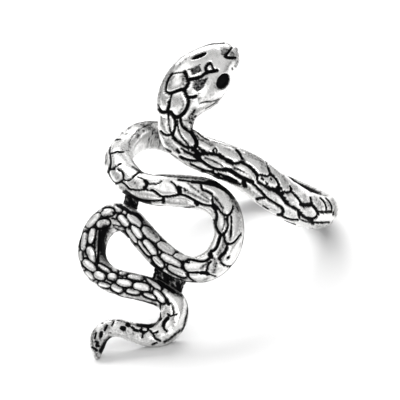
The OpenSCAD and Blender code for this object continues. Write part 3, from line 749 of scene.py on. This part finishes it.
# Scales of the front on the same view. Each stretch has its first and last
# station. Each scale has its middle, half length, half breadth and slant in
# degrees.
LEAVES = [
    # The third run, from the right bend to the lower left bend
    (41, 47, [
        (-10.55, -3.85, 0.55, 0.32, 5), (-8.9, -4.9, 0.83, 0.43, -42), (-7.35, -6.2, 1, 0.45, -38),
        (-5.95, -7.45, 0.92, 0.42, -30), (-4.4, -8.3, 0.92, 0.3, -14), (-9.95, -5, 0.65, 0.37, -50),
        (-8.7, -6, 0.73, 0.37, -57), (-7.5, -7.45, 0.87, 0.4, -50), (-5.55, -8.6, 1.05, 0.4, -30),
        (-10.7, -5.25, 0.55, 0.28, -22), (-10.4, -5.7, 0.55, 0.14, -20), (-9.2, -6.4, 0.83, 0.22, -55),
        (-8.05, -7.55, 0.87, 0.2, -52), (-6.75, -8.8, 0.7, 0.3, -50), (-4.95, -9.65, 1, 0.38, -28),
    ]),
    # The lower left bend and the fourth run
    (45, 57.5, [
        (-12.1, -4, 0.25, 0.18, 0), (-11.4, -4.2, 0.62, 0.38, 8), (-12.75, -4.95, 0.87, 0.3, 47),
        (-11.8, -5.3, 0.62, 0.4, 8), (-12.85, -6.4, 0.72, 0.33, 80), (-13.6, -6.9, 0.87, 0.26, 82),
        (-12.3, -7.25, 1.35, 0.12, 88), (-12.85, -8.05, 0.73, 0.42, -65), (-13.1, -9.1, 0.72, 0.38, -38),
        (-11.7, -9.3, 0.64, 0.21, -30), (-12.15, -10.05, 0.56, 0.41, -20), (-10.95, -10.1, 0.45, 0.37, 0),
        (-9.85, -10.7, 0.73, 0.38, -8), (-9.95, -9.75, 0.35, 0.18, 0), (-8.8, -10.1, 0.73, 0.25, -5),
        (-8.25, -11.05, 0.78, 0.4, -8), (-10.55, -11.25, 0.58, 0.34, -32),
        (-9.05, -11.55, 0.62, 0.26, -12), (-7.45, -11.95, 0.64, 0.22, -22),
        (-11.75, -10.95, 0.55, 0.24, -15), (-13.05, -10.05, 0.55, 0.23, -45),
        (-13.9, -8.25, 0.5, 0.16, -85), (-13.65, -5.15, 0.7, 0.12, 65), (-7.05, -10.7, 0.87, 0.26, -42),
        (-6.6, -11.95, 0.78, 0.33, -52),
    ]),
]

# Eye pits on the same view: middle, half length, half breadth, slant in
# degrees, and depth
EYES = [
    (-2.96, 10.09, 0.79, 0.23, 22, 0.3),
    (-0.71, 7.72, 0.81, 0.58, 60, 0.4),
]
EYE_STATIONS = (1, 8)

# Painted shade on the flat facets of the head, in place of their darker
# reflection, on the same view: share of black, and the corners from right to left over the top
FACET_SHADES = [
    # Brow
    (0.66, [(-2.66, 8.67), (-2.98, 9.31), (-3.72, 8.85), (-3.58, 8.3)]),
    # Cheek
    (0.66, [(-2.11, 8.07), (-3.41, 7.76), (-3.52, 7.2), (-3.07, 6.74), (-2.5, 7.21)]),
    # Snout, left of the nose and inside it
    (0.5, [(-0.18, 10.64), (-0.55, 10.83), (-0.92, 10.64), (-0.87, 10.18), (-0.55, 10.09)]),
    (0.45, [(0.5, 9.91), (0.37, 10.28), (-0.05, 10.64), (-0.18, 10)]),
]
FACET_STATION = 9


def curve_through(points, parts=6):
    """Points along a smooth curve through the points given."""
    p = np.array([points[0]] + list(points) + [points[-1]], dtype=float)
    found = [between(*p[i - 1:i + 3], k / parts) for i in range(1, len(p) - 2) for k in range(parts)]
    return np.array(found + [p[-1]])


def distance_to(line, u, w):
    """Distance of places on the front view from a line of points."""
    best = np.full(len(u), FAR)
    for (ax, ay), (bx, by) in zip(line[:-1], line[1:]):
        dx, dy = bx - ax, by - ay
        length = dx * dx + dy * dy + 1e-12
        t = np.clip(((u - ax) * dx + (w - ay) * dy) / length, 0, 1)
        best = np.minimum(best, np.hypot(u - ax - t * dx, w - ay - t * dy))
    return best


class FrontView:
    """Where the casting's points show on the front view, to the right and up
    from the hoop's middle, and how squarely each faces the viewer."""

    def __init__(self, skin, station, facing):
        self.u, self.w = turned(skin[:, 0], skin[:, 1], -REST_SLANT - CAMERA_ROLL)
        self.station = station
        self.facing = facing

    def stretch(self, first, last, least):
        """Points between two stations that face the viewer enough."""
        return np.nonzero((self.station >= first) & (self.station <= last) & (self.facing > least))[0]


class Relief:
    """Depth below the plain skin in millimetres, and share of black, which is
    oxide and painted shade, for each point of the casting."""

    def __init__(self, count):
        self.depth = np.zeros(count)
        self.oxide = np.zeros(count)

    def sink(self, at, depth, oxide):
        self.depth[at] = np.maximum(self.depth[at], depth)
        self.oxide[at] = np.maximum(self.oxide[at], oxide)

    def sink_all(self, depth, oxide):
        self.sink(slice(None), depth, oxide)


def lay_scales(relief, spine, ring, step, rows, carved, sizes):
    """Even rows of scales on the sides, where the front's marks leave off."""
    rings = np.arange(spine.last + 1)
    pitch = np.interp(spine.station(rings), *zip(*SCALE_LENGTHS))
    phases = np.concatenate([[0], np.cumsum(RING_STEP / ((pitch[1:] + pitch[:-1]) / 2))])
    phase = np.interp(ring, rings, phases)
    local_pitch = np.interp(ring, rings, pitch)
    phase = phase + 0.05 * ripple(phase * 2.1, step * 0.35, 0, 1.0)
    across = step + 0.3 * ripple(phase * 1.7, step * 0.3, 0, 4.0)
    step_mm = STEP_ANGLE * (rows[:, WIDE] / 2 * 0.5 + rows[:, THICK] * (1 - WAIST) * 0.5)
    nearest = np.full(len(ring), FAR)
    inside = np.zeros(len(ring))
    for next_row in (-1, 0, 1):
        row = np.floor((across + 2) / ROW_STEPS) + next_row
        odd = np.mod(row, 2)
        for next_scale in (-1, 0, 1):
            # Step to the scale's middle along the row, du, and across it, dv
            k = np.round(phase - odd / 2) + next_scale
            grow = 1 + STRAY_SIZE * (scatter(k, row, 2) - 0.5)
            du = phase - (k + odd / 2 + STRAY_ALONG * (scatter(k, row, 1) - 0.5))
            dv = across - (ROW_STEPS * row + STRAY_ACROSS * (scatter(k, row, 3) - 0.5))
            dv = dv - STRAY_SLANT * du * (scatter(k, row, 4) - 0.5)
            q = oval(du / (HALF_SCALE[0] * grow), dv / (HALF_SCALE[1] * grow))
            edge = np.hypot(du * local_pitch, dv * step_mm) * (1 - q) / np.maximum(q, 1e-3)
            edge = np.where(q < 1e-3, 1.0, edge)
            inside = np.where(q < nearest, edge, inside)
            nearest = np.minimum(nearest, q)
    share = np.where(np.abs(step) <= HALF_BACK, np.clip(rows[:, GROOVE], 0, 1) * (1 - carved), 0)
    groove = 1 - smooth((inside + 0.02) / sizes["groove_half"])
    crown = np.clip(1 - inside / SIDE_ROUNDING, 0, 1) ** 2
    depth = sizes["groove_depth"] * groove + sizes["crown"] * crown
    black = 1 - smooth((inside - 0.01) / (sizes["groove_half"] * 0.95))
    relief.sink_all(share * depth, smooth(share * 1.5) * black)


def lay_leaves(relief, view, sizes):
    """Scales of the front. A groove runs halfway between two scales, and a
    little beyond a scale that has no neighbour. One side of each scale gets a
    painted shade."""
    for group, (first, last, leaves) in enumerate(LEAVES):
        at = view.stretch(first, last, 0.02)
        best = np.full(len(at), -FAR)
        second = np.full(len(at), -LEAF_MARGIN)
        side_shade = np.zeros(len(at))
        for n, (mid_u, mid_w, long, short, slant) in enumerate(leaves):
            a, b = turned(view.u[at] - mid_u, view.w[at] - mid_w, math.radians(slant))
            q = np.maximum(oval(a / long, b / short), 1e-3)
            slope = np.hypot((np.abs(a) / (long * q)) ** (LEAF_ROUND - 1) / long,
                             (np.abs(b) / (short * q)) ** (LEAF_ROUND - 1) / short)
            inside = (1 - q) / slope
            second = np.maximum(second, np.minimum(best, inside))
            best = np.maximum(best, inside)
            # Painted shade: one side of each scale is darker
            side = 1 if scatter(n, group, 5) > 0.4 else -1
            shaded_side = np.clip(0.15 - side * b / short, 0, 1) ** 1.5 * (q < 1)
            side_shade = np.maximum(side_shade, shaded_side * (0.14 + 0.36 * scatter(n, group, 6)))
        lone = second <= -LEAF_MARGIN
        border = np.where(lone, np.abs(best + LEAF_MARGIN), (best - second) / 2)
        beyond = smooth((-LEAF_MARGIN - best) / 0.1)
        corner = np.where(lone, 0, smooth((0.02 - best) / 0.08))
        groove = np.maximum(1 - smooth(border / sizes["groove_half"]), corner)
        black = np.maximum(1 - smooth((border - 0.04) / (0.7 * sizes["groove_half"])), corner)
        crown = np.clip(1 - border / LEAF_ROUNDING, 0, 1) ** 2 * (1 - beyond)
        # Oxide and painted shade along each scale's rounded edge
        film = EDGE_OXIDE_AND_SHADE * np.clip(1 - border / EDGE_OXIDE_AND_SHADE_REACH, 0, 1) ** 1.5
        depth = sizes["groove_depth"] * groove + sizes["crown"] * crown
        relief.sink(at, depth, np.maximum(np.maximum(black, film), side_shade))


def lay_marks(relief, view):
    """Marks of the front: a cut wall with a soft shoulder, black in the cut,
    or a painted shade alone."""
    for first, last, marks in MARKS:
        seen = view.stretch(first, last, -0.05)
        for half, deep, black, points in marks:
            line = curve_through(points)
            reach = 3 * half + 0.1
            spots = np.stack([view.u[seen], view.w[seen]], axis=1)
            near = (spots > line.min(axis=0) - reach) & (spots < line.max(axis=0) + reach)
            at = seen[near.all(axis=1)]
            d = distance_to(line, view.u[at], view.w[at])
            if deep == 0:
                # Painted shade, with no cut
                relief.sink(at, 0, black * np.exp(-((d / half) ** 2)))
                continue
            wall, fill = (smooth((start - d / half) / broad) for start, broad in (MARK_WALL, MARK_BLACK))
            shoulder = np.exp(-((d / (MARK_SHOULDER * half)) ** 2))
            relief.sink(at, deep * (WALL_DEPTH * wall + SHOULDER_DEPTH * shoulder), black * fill)


def shade_facets(relief, view):
    """Painted shade on the head's flat facets, in place of their darker reflection."""
    at = view.stretch(0, FACET_STATION, 0)
    for black, corners in FACET_SHADES:
        inside = np.full(len(at), FAR)
        for (ax, ay), (bx, by) in zip(corners, corners[1:] + corners[:1]):
            across = (bx - ax) * (view.w[at] - ay) - (by - ay) * (view.u[at] - ax)
            inside = np.minimum(inside, across / math.hypot(bx - ax, by - ay))
        relief.sink(at, 0, black * smooth((inside + 0.07) / 0.1))


def sink_eyes(relief, view):
    """Blind pits of the eyes, black inside."""
    at = view.stretch(*EYE_STATIONS, -0.2)
    for mid_u, mid_w, long, short, slant, deep in EYES:
        a, b = turned(view.u[at] - mid_u, view.w[at] - mid_w, math.radians(slant))
        edge = (1 - np.hypot(a / long, b / short)) * short
        relief.sink(at, deep * smooth((edge + 0.03) / 0.14), smooth((edge + 0.03) / 0.08))


def sink_mouth(relief, ring, step, spine):
    """Line of the mouth along the widest line of the head."""
    corner = float(spine.ring(MOUTH_STATION))
    on = along(ring, MOUTH_RING, 1.5, corner, 1.5)
    line = MOUTH_STEP - MOUTH_RISE * smooth((ring - 6) / (corner - 6))
    for side in (-1, 1):
        d = np.abs(step - side * line) * 0.3
        depth = MOUTH_DEPTH * on * smooth((0.2 - d) / 0.16)
        relief.sink_all(depth, MOUTH_BLACK * on * smooth((0.17 - d) / 0.1))


def darken_flanks(relief, view, step, around):
    """Black left on the flanks and inside the hoop's back, where no
    polishing wheel reaches."""
    station = view.station
    low = np.where(around > BACK_CELLS, 1, smooth((np.abs(step) - 8.4) / 1.8))
    inner = smooth((around - BACK_CELLS) / 2)
    body = smooth((station - 8) / 2)
    hoop_back = along(station, HOOP_BACK[0], 2, HOOP_BACK[1], 1.5)
    worn = 1 - WEAR * inner * along(station, WORN[0], 2, WORN[1], 2)
    # Uneven, and less so on the side that the viewer doesn't see
    mottle = 0.5 + 0.5 * ripple(view.u * 2.2, view.w * 2.2, station, 2.0)
    mottle = mottle * (1 - 0.6 * smooth((-0.05 - view.facing) / 0.3))
    relief.sink_all(0, low * body * worn * (1 - hoop_back) * (0.2 + 0.35 * mottle))
    outer_black = hoop_back * smooth((26.8 - station) / 1.4) * (0.34 + 0.36 * mottle)
    inner_black = inner * hoop_back * worn * (0.2 + 0.45 * mottle ** 2)
    relief.sink_all(0, np.where(inner > 0, inner_black, outer_black))


def shade_underside(relief, view, skin, normal):
    """Painted shade: black on the side that lies toward the floor, away from
    the viewer, which sends less light onto the floor's shadows."""
    down = -(normal @ np.array(REST_TURN).T)[:, 2]
    height = to_rest(skin)[:, 2] / MM
    hidden = smooth((down - 0.1) / 0.7) * smooth((0.1 - view.facing) / 0.3)
    relief.sink_all(0, UNDERSIDE_SHADE * hidden * smooth((10 - height) / 5))


# The casting
def column_stops(spine):
    """Places of the mesh's columns: ring, share of the full section, and
    push beyond the end."""
    head_to = spine.ring(len(HEAD) - 1)
    long_from, long_to = spine.ring(LONG_CELLS)
    stops = []
    for i in range(spine.last):
        cells = SCALED_CELLS
        if i < head_to:
            cells = HEAD_CELLS
        if long_from <= i < long_to:
            cells = SMOOTH_CELLS
        stops += [(i + k / cells, 1.0, 0.0) for k in range(cells)]
    stops.append((float(spine.last), 1.0, 0.0))
    shares = [k / CAP_CELLS for k in range(1, CAP_CELLS + 1)]
    snout = [(0.0, math.sqrt(1 - t * t), -END_CAP * t) for t in reversed(shares)]
    tail = [(float(spine.last), math.sqrt(1 - t * t), END_CAP * t) for t in shares]
    return np.array(snout + stops + tail), head_to


def flat_skin(columns, head_columns):
    """The snake's skin laid flat: a column of cells for each stop along the
    body, and a row for each cell round the section."""
    bm = bmesh.new()
    bmesh.ops.create_grid(bm, x_segments=columns, y_segments=AROUND_CELLS, size=0.5)
    bmesh.ops.translate(bm, verts=bm.verts, vec=(0.5, 0.5, 0))
    bmesh.ops.scale(bm, verts=bm.verts, vec=(columns, AROUND_CELLS, 1))
    # The head is broad, so its back has twice the cells
    broad = [
        e for e in bm.edges
        if abs(e.verts[0].co.x - e.verts[1].co.x) < 0.01
        and e.verts[0].co.x < head_columns
        and max(v.co.y for v in e.verts) < BACK_CELLS + 0.01
    ]
    bmesh.ops.subdivide_edges(bm, edges=broad, cuts=1, use_grid_fill=True)
    return bm


def carve(spine, ring, step, around, rows, skin, normal, sizes):
    """Relief of the whole skin."""
    view = FrontView(skin, spine.station(ring), normal[:, 2])
    relief = Relief(len(ring))
    on_back = np.where(around <= BACK_CELLS, step, 2 * HALF_BACK)
    smooth_back = along(view.station, HOOP_BACK[0], 1.5, HOOP_BACK[1], 1.5)
    carved = smooth((view.facing - 0.05) / 0.2) * (1 - smooth_back)
    lay_scales(relief, spine, ring, on_back, rows, carved, sizes)
    lay_leaves(relief, view, sizes)
    lay_marks(relief, view)
    shade_facets(relief, view)
    sink_eyes(relief, view)
    sink_mouth(relief, ring, on_back, spine)
    darken_flanks(relief, view, step, around)
    shade_underside(relief, view, skin, normal)
    return relief


def cast_body(sizes):
    """The snake in one closed skin: laid flat, bent to its sections along the
    spine, carved, and turned to the way it lies."""
    spine = Spine(sizes["finger_d"] / 2)
    stops, head_to = column_stops(spine)
    bm = flat_skin(len(stops) - 1, np.searchsorted(stops[:, 0], head_to))
    column, around = np.array([v.co[:2] for v in bm.verts]).T
    ring, share, push = (np.interp(column, np.arange(len(stops)), stops[:, k]) for k in range(3))
    rows = spine.rows(ring)
    spot, ahead, side, back = spine.frames(ring)
    x, z, nx, nz, step = section(around, rows[:, WIDE], rows[:, THICK])
    normal = nx[:, None] * side + nz[:, None] * back
    middle = rows[:, THICK] * 0.5
    skin = spot + push[:, None] * ahead
    skin = skin + (x * share)[:, None] * side + (middle + (z - middle) * share)[:, None] * back
    relief = carve(spine, ring, step, around, rows, skin, normal, sizes)
    full = smooth((share - 0.5) * 4)
    skin = skin - (relief.depth * full)[:, None] * normal
    # Nothing stands inside the finger's cylinder
    reach = np.hypot(skin[:, 0], skin[:, 2])
    skin[:, [0, 2]] *= np.maximum(spine.finger_r / np.maximum(reach, 1e-6), 1)[:, None]
    # Black share of oxide and painted shade, on a curve
    darkening = 1 - (1 - np.clip(relief.oxide, 0, 1)) ** TARNISH
    layer = bm.verts.layers.float.new("oxide")
    for v, co, black in zip(bm.verts, to_rest(skin), darkening):
        v.co = co
        v[layer] = black
    bmesh.ops.remove_doubles(bm, verts=bm.verts, dist=1e-7)
    bmesh.ops.recalc_face_normals(bm, faces=bm.faces)
    return bm


# Webs between the folds: first and last station, breadth, thickness, and
# how far below the body's middle they lie
WEBS = [
    ("upper_web", FOLD_START - 4.0, FOLD_START + 12.4, 1.75, 1.2, 0.1),
    ("lower_web_left", FOLD_START + 8.9, FOLD_START + 22.2, 1.9, 1.0, 0.2),
    ("lower_web_right", FOLD_START + 7.8, FOLD_START + 23.2, 1.9, 1.0, 0.2),
]
WEB_SIDES = 32
WEB_CUTS = 23
# Breadth at a web's middle and more of it at its ends, as shares of its own
# breadth, and the roughness of its surface
WEB_MIDDLE = 0.9
WEB_FLARE = 0.6
WEB_ROUGH = 0.16


def cast_web(spine, start, end, breadth, thickness, drop):
    """A rough bar between two places of the body, wider at both ends."""
    first, last = spine.waist(start), spine.waist(end)
    reach = Vector(last - first)
    out = Vector((first[0] + last[0], 0, first[2] + last[2]))
    out = (out - out.project(reach)).normalized()
    bm = bmesh.new()
    bmesh.ops.create_cone(bm, segments=WEB_SIDES, radius1=0.5, radius2=0.5, depth=1)
    long = [e for e in bm.edges if abs(e.verts[0].co.z - e.verts[1].co.z) > 0.5]
    bmesh.ops.subdivide_edges(bm, edges=long, cuts=WEB_CUTS)
    layer = bm.verts.layers.float.new("oxide")
    for v in bm.verts:
        flare = WEB_MIDDLE + WEB_FLARE * abs(2 * v.co.z) ** 2.5
        rough = WEB_ROUGH * float(ripple(v.co.x * 5, v.co.y * 5, v.co.z * 8, 3.0))
        v[layer] = 0.97 - 0.4 * max(0, float(ripple(v.co.x * 9, v.co.y * 9, v.co.z * 14, 1.0)))
        v.co.xy *= flare + rough
    turn = Matrix((out.cross(reach).normalized(), out, reach.normalized())).transposed()
    bmesh.ops.scale(bm, verts=bm.verts, vec=(breadth, thickness, reach.length))
    bmesh.ops.rotate(bm, verts=bm.verts, cent=(0, 0, 0), matrix=turn)
    bmesh.ops.translate(bm, verts=bm.verts, vec=Vector(first) + reach / 2 - drop * out)
    for v in bm.verts:
        v.co = REST_TURN @ v.co * MM + HOOP_MIDDLE
    bmesh.ops.recalc_face_normals(bm, faces=bm.faces)
    return bm


def add_piece(name, bm, material):
    """Puts a piece in the scene in place of the plain casting."""
    mesh = bpy.data.meshes.new(name)
    bm.to_mesh(mesh)
    bm.free()
    mesh.shade_smooth()
    piece = bpy.data.objects.new(name, mesh)
    bpy.context.scene.collection.objects.link(piece)
    mesh.materials.append(material)
    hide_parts(NODE)
    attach(piece, BODY)
    return piece


# Shader maths
class Wire:
    """A shader value. Sums and products of wires add Math nodes."""

    def __init__(self, tree, socket=None):
        self.tree = tree
        self.socket = socket

    def node(self, kind, settings=None, sockets=None, output=0):
        """Adds a node, sets it up, then fills its sockets."""
        node = self.tree.nodes.new(kind)
        for name, value in (settings or {}).items():
            if name == "stops":
                lay_stops(node.color_ramp, value)
            else:
                setattr(node, name, value)
        for name, value in (sockets or {}).items():
            if isinstance(value, Wire):
                self.tree.links.new(value.socket, node.inputs[name])
            else:
                node.inputs[name].default_value = value
        return Wire(self.tree, node.outputs[output] if node.outputs else None)

    def maths(self, operation, *values):
        return self.node("ShaderNodeMath", {"operation": operation}, dict(enumerate(values)))

    def __add__(self, other):
        return self.maths("ADD", self, other)

    def __mul__(self, other):
        return self.maths("MULTIPLY", self, other)

    def __sub__(self, other):
        return self.maths("SUBTRACT", self, other)

    def __rsub__(self, other):
        return self.maths("SUBTRACT", other, self)

    __radd__ = __add__
    __rmul__ = __mul__

    def clamp(self):
        return self.node("ShaderNodeClamp", None, {"Value": self})


# Numbers of a Mix node's sockets for colours, which share their names
MIX_SHARE, MIX_FIRST, MIX_SECOND, MIX_COLOUR = 0, 6, 7, 2

# Patterns of the silver's finish: scale and detail
CLOUD = (900.0, 4.0)
FILM = (2600.0, 5.0)
SPECKLE = (5000.0, 3.0)
GRAIN = (5200.0, 3.0)
GRAIN_HEIGHT = 0.00003


def lay_stops(ramp, stops):
    """Gives a ramp its stops: place and grey of each."""
    while len(ramp.elements) > 1:
        ramp.elements.remove(ramp.elements[-1])
    for i, (at, value) in enumerate(stops):
        element = ramp.elements[0] if i == 0 else ramp.elements.new(at)
        element.position = at
        element.color = (value, value, value, 1)


def antique_silver(finish):
    """Polished silver where the share of oxide and painted shade is 0, black
    where it is 1, and a stained film between."""
    material = bpy.data.materials.new("antique_silver")
    material.use_nodes = True
    tree = material.node_tree
    tree.nodes.clear()
    maker = Wire(tree)
    coords = maker.node("ShaderNodeTexCoord", output="Object")
    oxide = maker.node("ShaderNodeAttribute", {"attribute_name": "oxide"}, output="Fac")
    cloud, grain, film, speckle = (
        maker.node("ShaderNodeTexNoise", None, {"Vector": coords, "Scale": scale, "Detail": detail})
        for scale, detail in (CLOUD, GRAIN, FILM, SPECKLE)
    )
    stain = ((film - 0.5) * 2.2 + (cloud - 0.5) * 1.4).clamp() * 0.55
    ragged = (speckle - 0.5) * oxide * (1 - oxide) * 6.0
    black = (oxide * 1.12 + ragged + stain * (1 - oxide) + (grain - 0.55) * 0.1).clamp()
    colour = maker.node(
        "ShaderNodeMix", {"data_type": "RGBA"},
        {MIX_SHARE: black, MIX_FIRST: (*finish.metal, 1), MIX_SECOND: (*finish.soot, 1)}, MIX_COLOUR)
    bump = maker.node("ShaderNodeBump", None, {
        "Height": grain * (0.4 + black),
        "Strength": 0.35,
        "Distance": GRAIN_HEIGHT,
    })
    shader = maker.node("ShaderNodeBsdfPrincipled", None, {
        "Base Color": colour,
        "Metallic": 1 - black * 0.35,
        "Roughness": (0.2 + black * 0.4 + cloud * 0.08 + grain * 0.05).clamp(),
        "Normal": bump,
        "Specular IOR Level": 0.05,
    })
    maker.node("ShaderNodeOutputMaterial", None, {"Surface": shader})
    return material


# The studio. Each lamp has its name, place, breadth and height, share of the
# key power, and whether the metal mirrors it. The shadow light only draws the
# floor's shadows.
LAMPS = [
    ("key_light", (-0.55, -0.2, 0.75), (0.9, 0.9), 0.2, True),
    ("top_light", (0.05, 0.6, 0.55), (1.0, 0.32), 0.5, True),
    ("shadow_light", (0.0, 0.55, 0.61), (1.0, 0.3), 0.95, False),
    ("front_light", (0.02, -0.87, 0.3), (0.4, 0.3), 0.3, True),
    ("back_light", (0.06, 0.85, 0.31), (0.5, 0.12), 0.03, True),
]
LAMP_AIM = Vector((0, 0, 0.01))

# Brightness of the sky from straight below, 0, to straight above, 1
SKY_STOPS = [
    (0.0, 0.3), (0.49, 0.2), (0.53, 0.12), (0.57, 0.22),
    (0.63, 0.53), (0.75, 0.7), (0.88, 0.73), (1.0, 0.52),
]


def lay_floor(studio):
    """Plain pale floor."""
    material = bpy.data.materials.new("pale_floor")
    material.use_nodes = True
    shader = material.node_tree.nodes["Principled BSDF"]
    shader.inputs["Base Color"].default_value = (*studio.floor_colour, 1)
    shader.inputs["Roughness"].default_value = 0.7
    bm = bmesh.new()
    bmesh.ops.create_grid(bm, x_segments=1, y_segments=1, size=studio.floor_size / 2)
    mesh = bpy.data.meshes.new("floor")
    bm.to_mesh(mesh)
    bm.free()
    mesh.materials.append(material)
    floor = bpy.data.objects.new("floor", mesh)
    bpy.context.scene.collection.objects.link(floor)


def camera_axes():
    """Right, up and toward the camera, in the way the ring lies."""
    toward = REST_TURN @ Vector((0, 0, 1))
    across = Vector((1, 0, 0))
    rise = Vector((0, math.cos(REST_LEAN), math.sin(REST_LEAN)))
    right = math.cos(CAMERA_ROLL) * across - math.sin(CAMERA_ROLL) * rise
    up = math.sin(CAMERA_ROLL) * across + math.cos(CAMERA_ROLL) * rise
    return right, up, toward


def set_camera():
    """Camera square to the ring's front, from far enough to show it flat."""
    right, up, toward = camera_axes()
    aim = HOOP_MIDDLE + (VIEW_MIDDLE.x * right + VIEW_MIDDLE.y * up + VIEW_MIDDLE.z * toward) * MM
    data = bpy.data.cameras.new("camera")
    data.sensor_width = CAMERA_SENSOR
    data.lens = CAMERA_SENSOR * CAMERA_REACH / VIEW_WIDTH
    data.clip_start = 0.01
    data.clip_end = 20
    camera = bpy.data.objects.new("camera", data)
    turn = Matrix((right, up, toward)).transposed()
    camera.matrix_world = Matrix.Translation(aim + toward * CAMERA_REACH) @ turn.to_4x4()
    bpy.context.scene.collection.objects.link(camera)
    bpy.context.scene.camera = camera


def hang_lamps(studio):
    """Soft lamps round the ring."""
    for name, spot, size, share, mirrored in LAMPS:
        data = bpy.data.lights.new(name, "AREA")
        data.shape = "RECTANGLE"
        data.size, data.size_y = size
        data.energy = share * studio.key_power
        lamp = bpy.data.objects.new(name, data)
        lamp.location = spot
        lamp.rotation_euler = (LAMP_AIM - Vector(spot)).to_track_quat("-Z", "Y").to_euler()
        lamp.visible_glossy = mirrored
        bpy.context.scene.collection.objects.link(lamp)


def set_sky(studio):
    """Light from all round, which the metal mirrors in bands."""
    world = bpy.data.worlds.new("studio")
    world.use_nodes = True
    tree = world.node_tree
    tree.nodes.clear()
    maker = Wire(tree)
    way = maker.node("ShaderNodeTexCoord", output="Generated")
    height = maker.node("ShaderNodeSeparateXYZ", None, {"Vector": way}, "Z")
    ramp = maker.node("ShaderNodeValToRGB", {"stops": SKY_STOPS}, {"Fac": height * 0.5 + 0.5})
    sky = maker.node("ShaderNodeBackground", None, {"Color": ramp, "Strength": studio.sky})
    maker.node("ShaderNodeOutputWorld", None, {"Surface": sky})
    bpy.context.scene.world = world


# Sizes, finish and studio that a user would change
def measure(name, description, default):
    return FloatProperty(name=name, description=description, default=default, unit="LENGTH", precision=5)


def tint(name, description, default):
    return FloatVectorProperty(name=name, description=description, default=default, subtype="COLOR", size=3)


class SnakeRingSizes(bpy.types.PropertyGroup):
    finger_d: measure("Finger", "Inside diameter of the hoop", 2 * FINGER["dims"]["r_mm"] * MM)
    groove_depth: measure("Groove depth", "Depth of the grooves between even scales", 0.2 * MM)
    groove_half: measure("Groove half breadth", "Half the breadth of such a groove", 0.18 * MM)
    crown: measure("Crown", "How far a scale's middle stands above its edge", 0.07 * MM)


class SnakeRingFinish(bpy.types.PropertyGroup):
    metal: tint("Silver", "Colour of the polished metal", (0.9, 0.895, 0.885))
    # This black also colours the painted shades
    soot: tint("Oxide", "Colour of the blackened recesses", (0.004, 0.004, 0.0045))


class SnakeRingStudio(bpy.types.PropertyGroup):
    floor_size: measure("Floor", "Side of the floor", 1.6)
    floor_colour: tint("Floor colour", "Colour of the floor", (0.77, 0.77, 0.77))
    key_power: FloatProperty(
        name="Key power", description="Power that the lamps take their shares of", default=8.0, unit="POWER")
    sky: FloatProperty(name="Sky", description="Strength of the light from all round", default=1.0)


def sizes_in_mm(context):
    """The user's sizes by name, in millimetres."""
    sizes = context.scene.snake_ring_sizes
    return {name: getattr(sizes, name) / MM for name in sizes.__annotations__}


class SNAKE_OT_cast_body(bpy.types.Operator):
    """Casts the snake: head, hoop, folds and tail in one piece"""
    bl_idname = "snake_ring.cast_body"
    bl_label = "Cast the snake"

    def execute(self, context):
        material = antique_silver(context.scene.snake_ring_finish)
        add_piece("snake_body", cast_body(sizes_in_mm(context)), material)
        return {"FINISHED"}


class SNAKE_OT_cast_webs(bpy.types.Operator):
    """Casts the three webs that tie the folds"""
    bl_idname = "snake_ring.cast_webs"
    bl_label = "Cast the webs"

    def execute(self, context):
        spine = Spine(sizes_in_mm(context)["finger_d"] / 2)
        for name, *web in WEBS:
            add_piece(name, cast_web(spine, *web), bpy.data.materials["antique_silver"])
        return {"FINISHED"}


class SNAKE_OT_set_stage(bpy.types.Operator):
    """Lays the floor and sets the lamps and the camera"""
    bl_idname = "snake_ring.set_stage"
    bl_label = "Set the stage"

    def execute(self, context):
        studio = context.scene.snake_ring_studio
        lay_floor(studio)
        set_camera()
        set_sky(studio)
        hang_lamps(studio)
        context.scene.view_settings.view_transform = "Standard"
        return {"FINISHED"}


class SNAKE_PT_panel(bpy.types.Panel):
    """Lists the steps that make the ring"""
    bl_idname = "SNAKE_PT_panel"
    bl_label = "Snake Ring"
    bl_space_type = "VIEW_3D"
    bl_region_type = "UI"
    bl_category = "Snake Ring"

    def draw(self, context):
        for group in GROUPS:
            values = getattr(context.scene, group)
            for name in values.__annotations__:
                self.layout.prop(values, name)
        for step in STEPS:
            self.layout.operator(step.bl_idname)


GROUPS = {
    "snake_ring_sizes": SnakeRingSizes,
    "snake_ring_finish": SnakeRingFinish,
    "snake_ring_studio": SnakeRingStudio,
}
STEPS = (SNAKE_OT_cast_body, SNAKE_OT_cast_webs, SNAKE_OT_set_stage)
CLASSES = (*GROUPS.values(), *STEPS, SNAKE_PT_panel)


def register():
    for each in CLASSES:
        bpy.utils.register_class(each)
    for name, group in GROUPS.items():
        setattr(bpy.types.Scene, name, PointerProperty(type=group))


def unregister():
    for name in GROUPS:
        delattr(bpy.types.Scene, name)
    for each in reversed(CLASSES):
        bpy.utils.unregister_class(each)


def main():
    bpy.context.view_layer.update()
    register()
    bpy.ops.snake_ring.cast_body()
    bpy.ops.snake_ring.cast_webs()
    bpy.ops.snake_ring.set_stage()


if __name__ == "__main__":
    main()
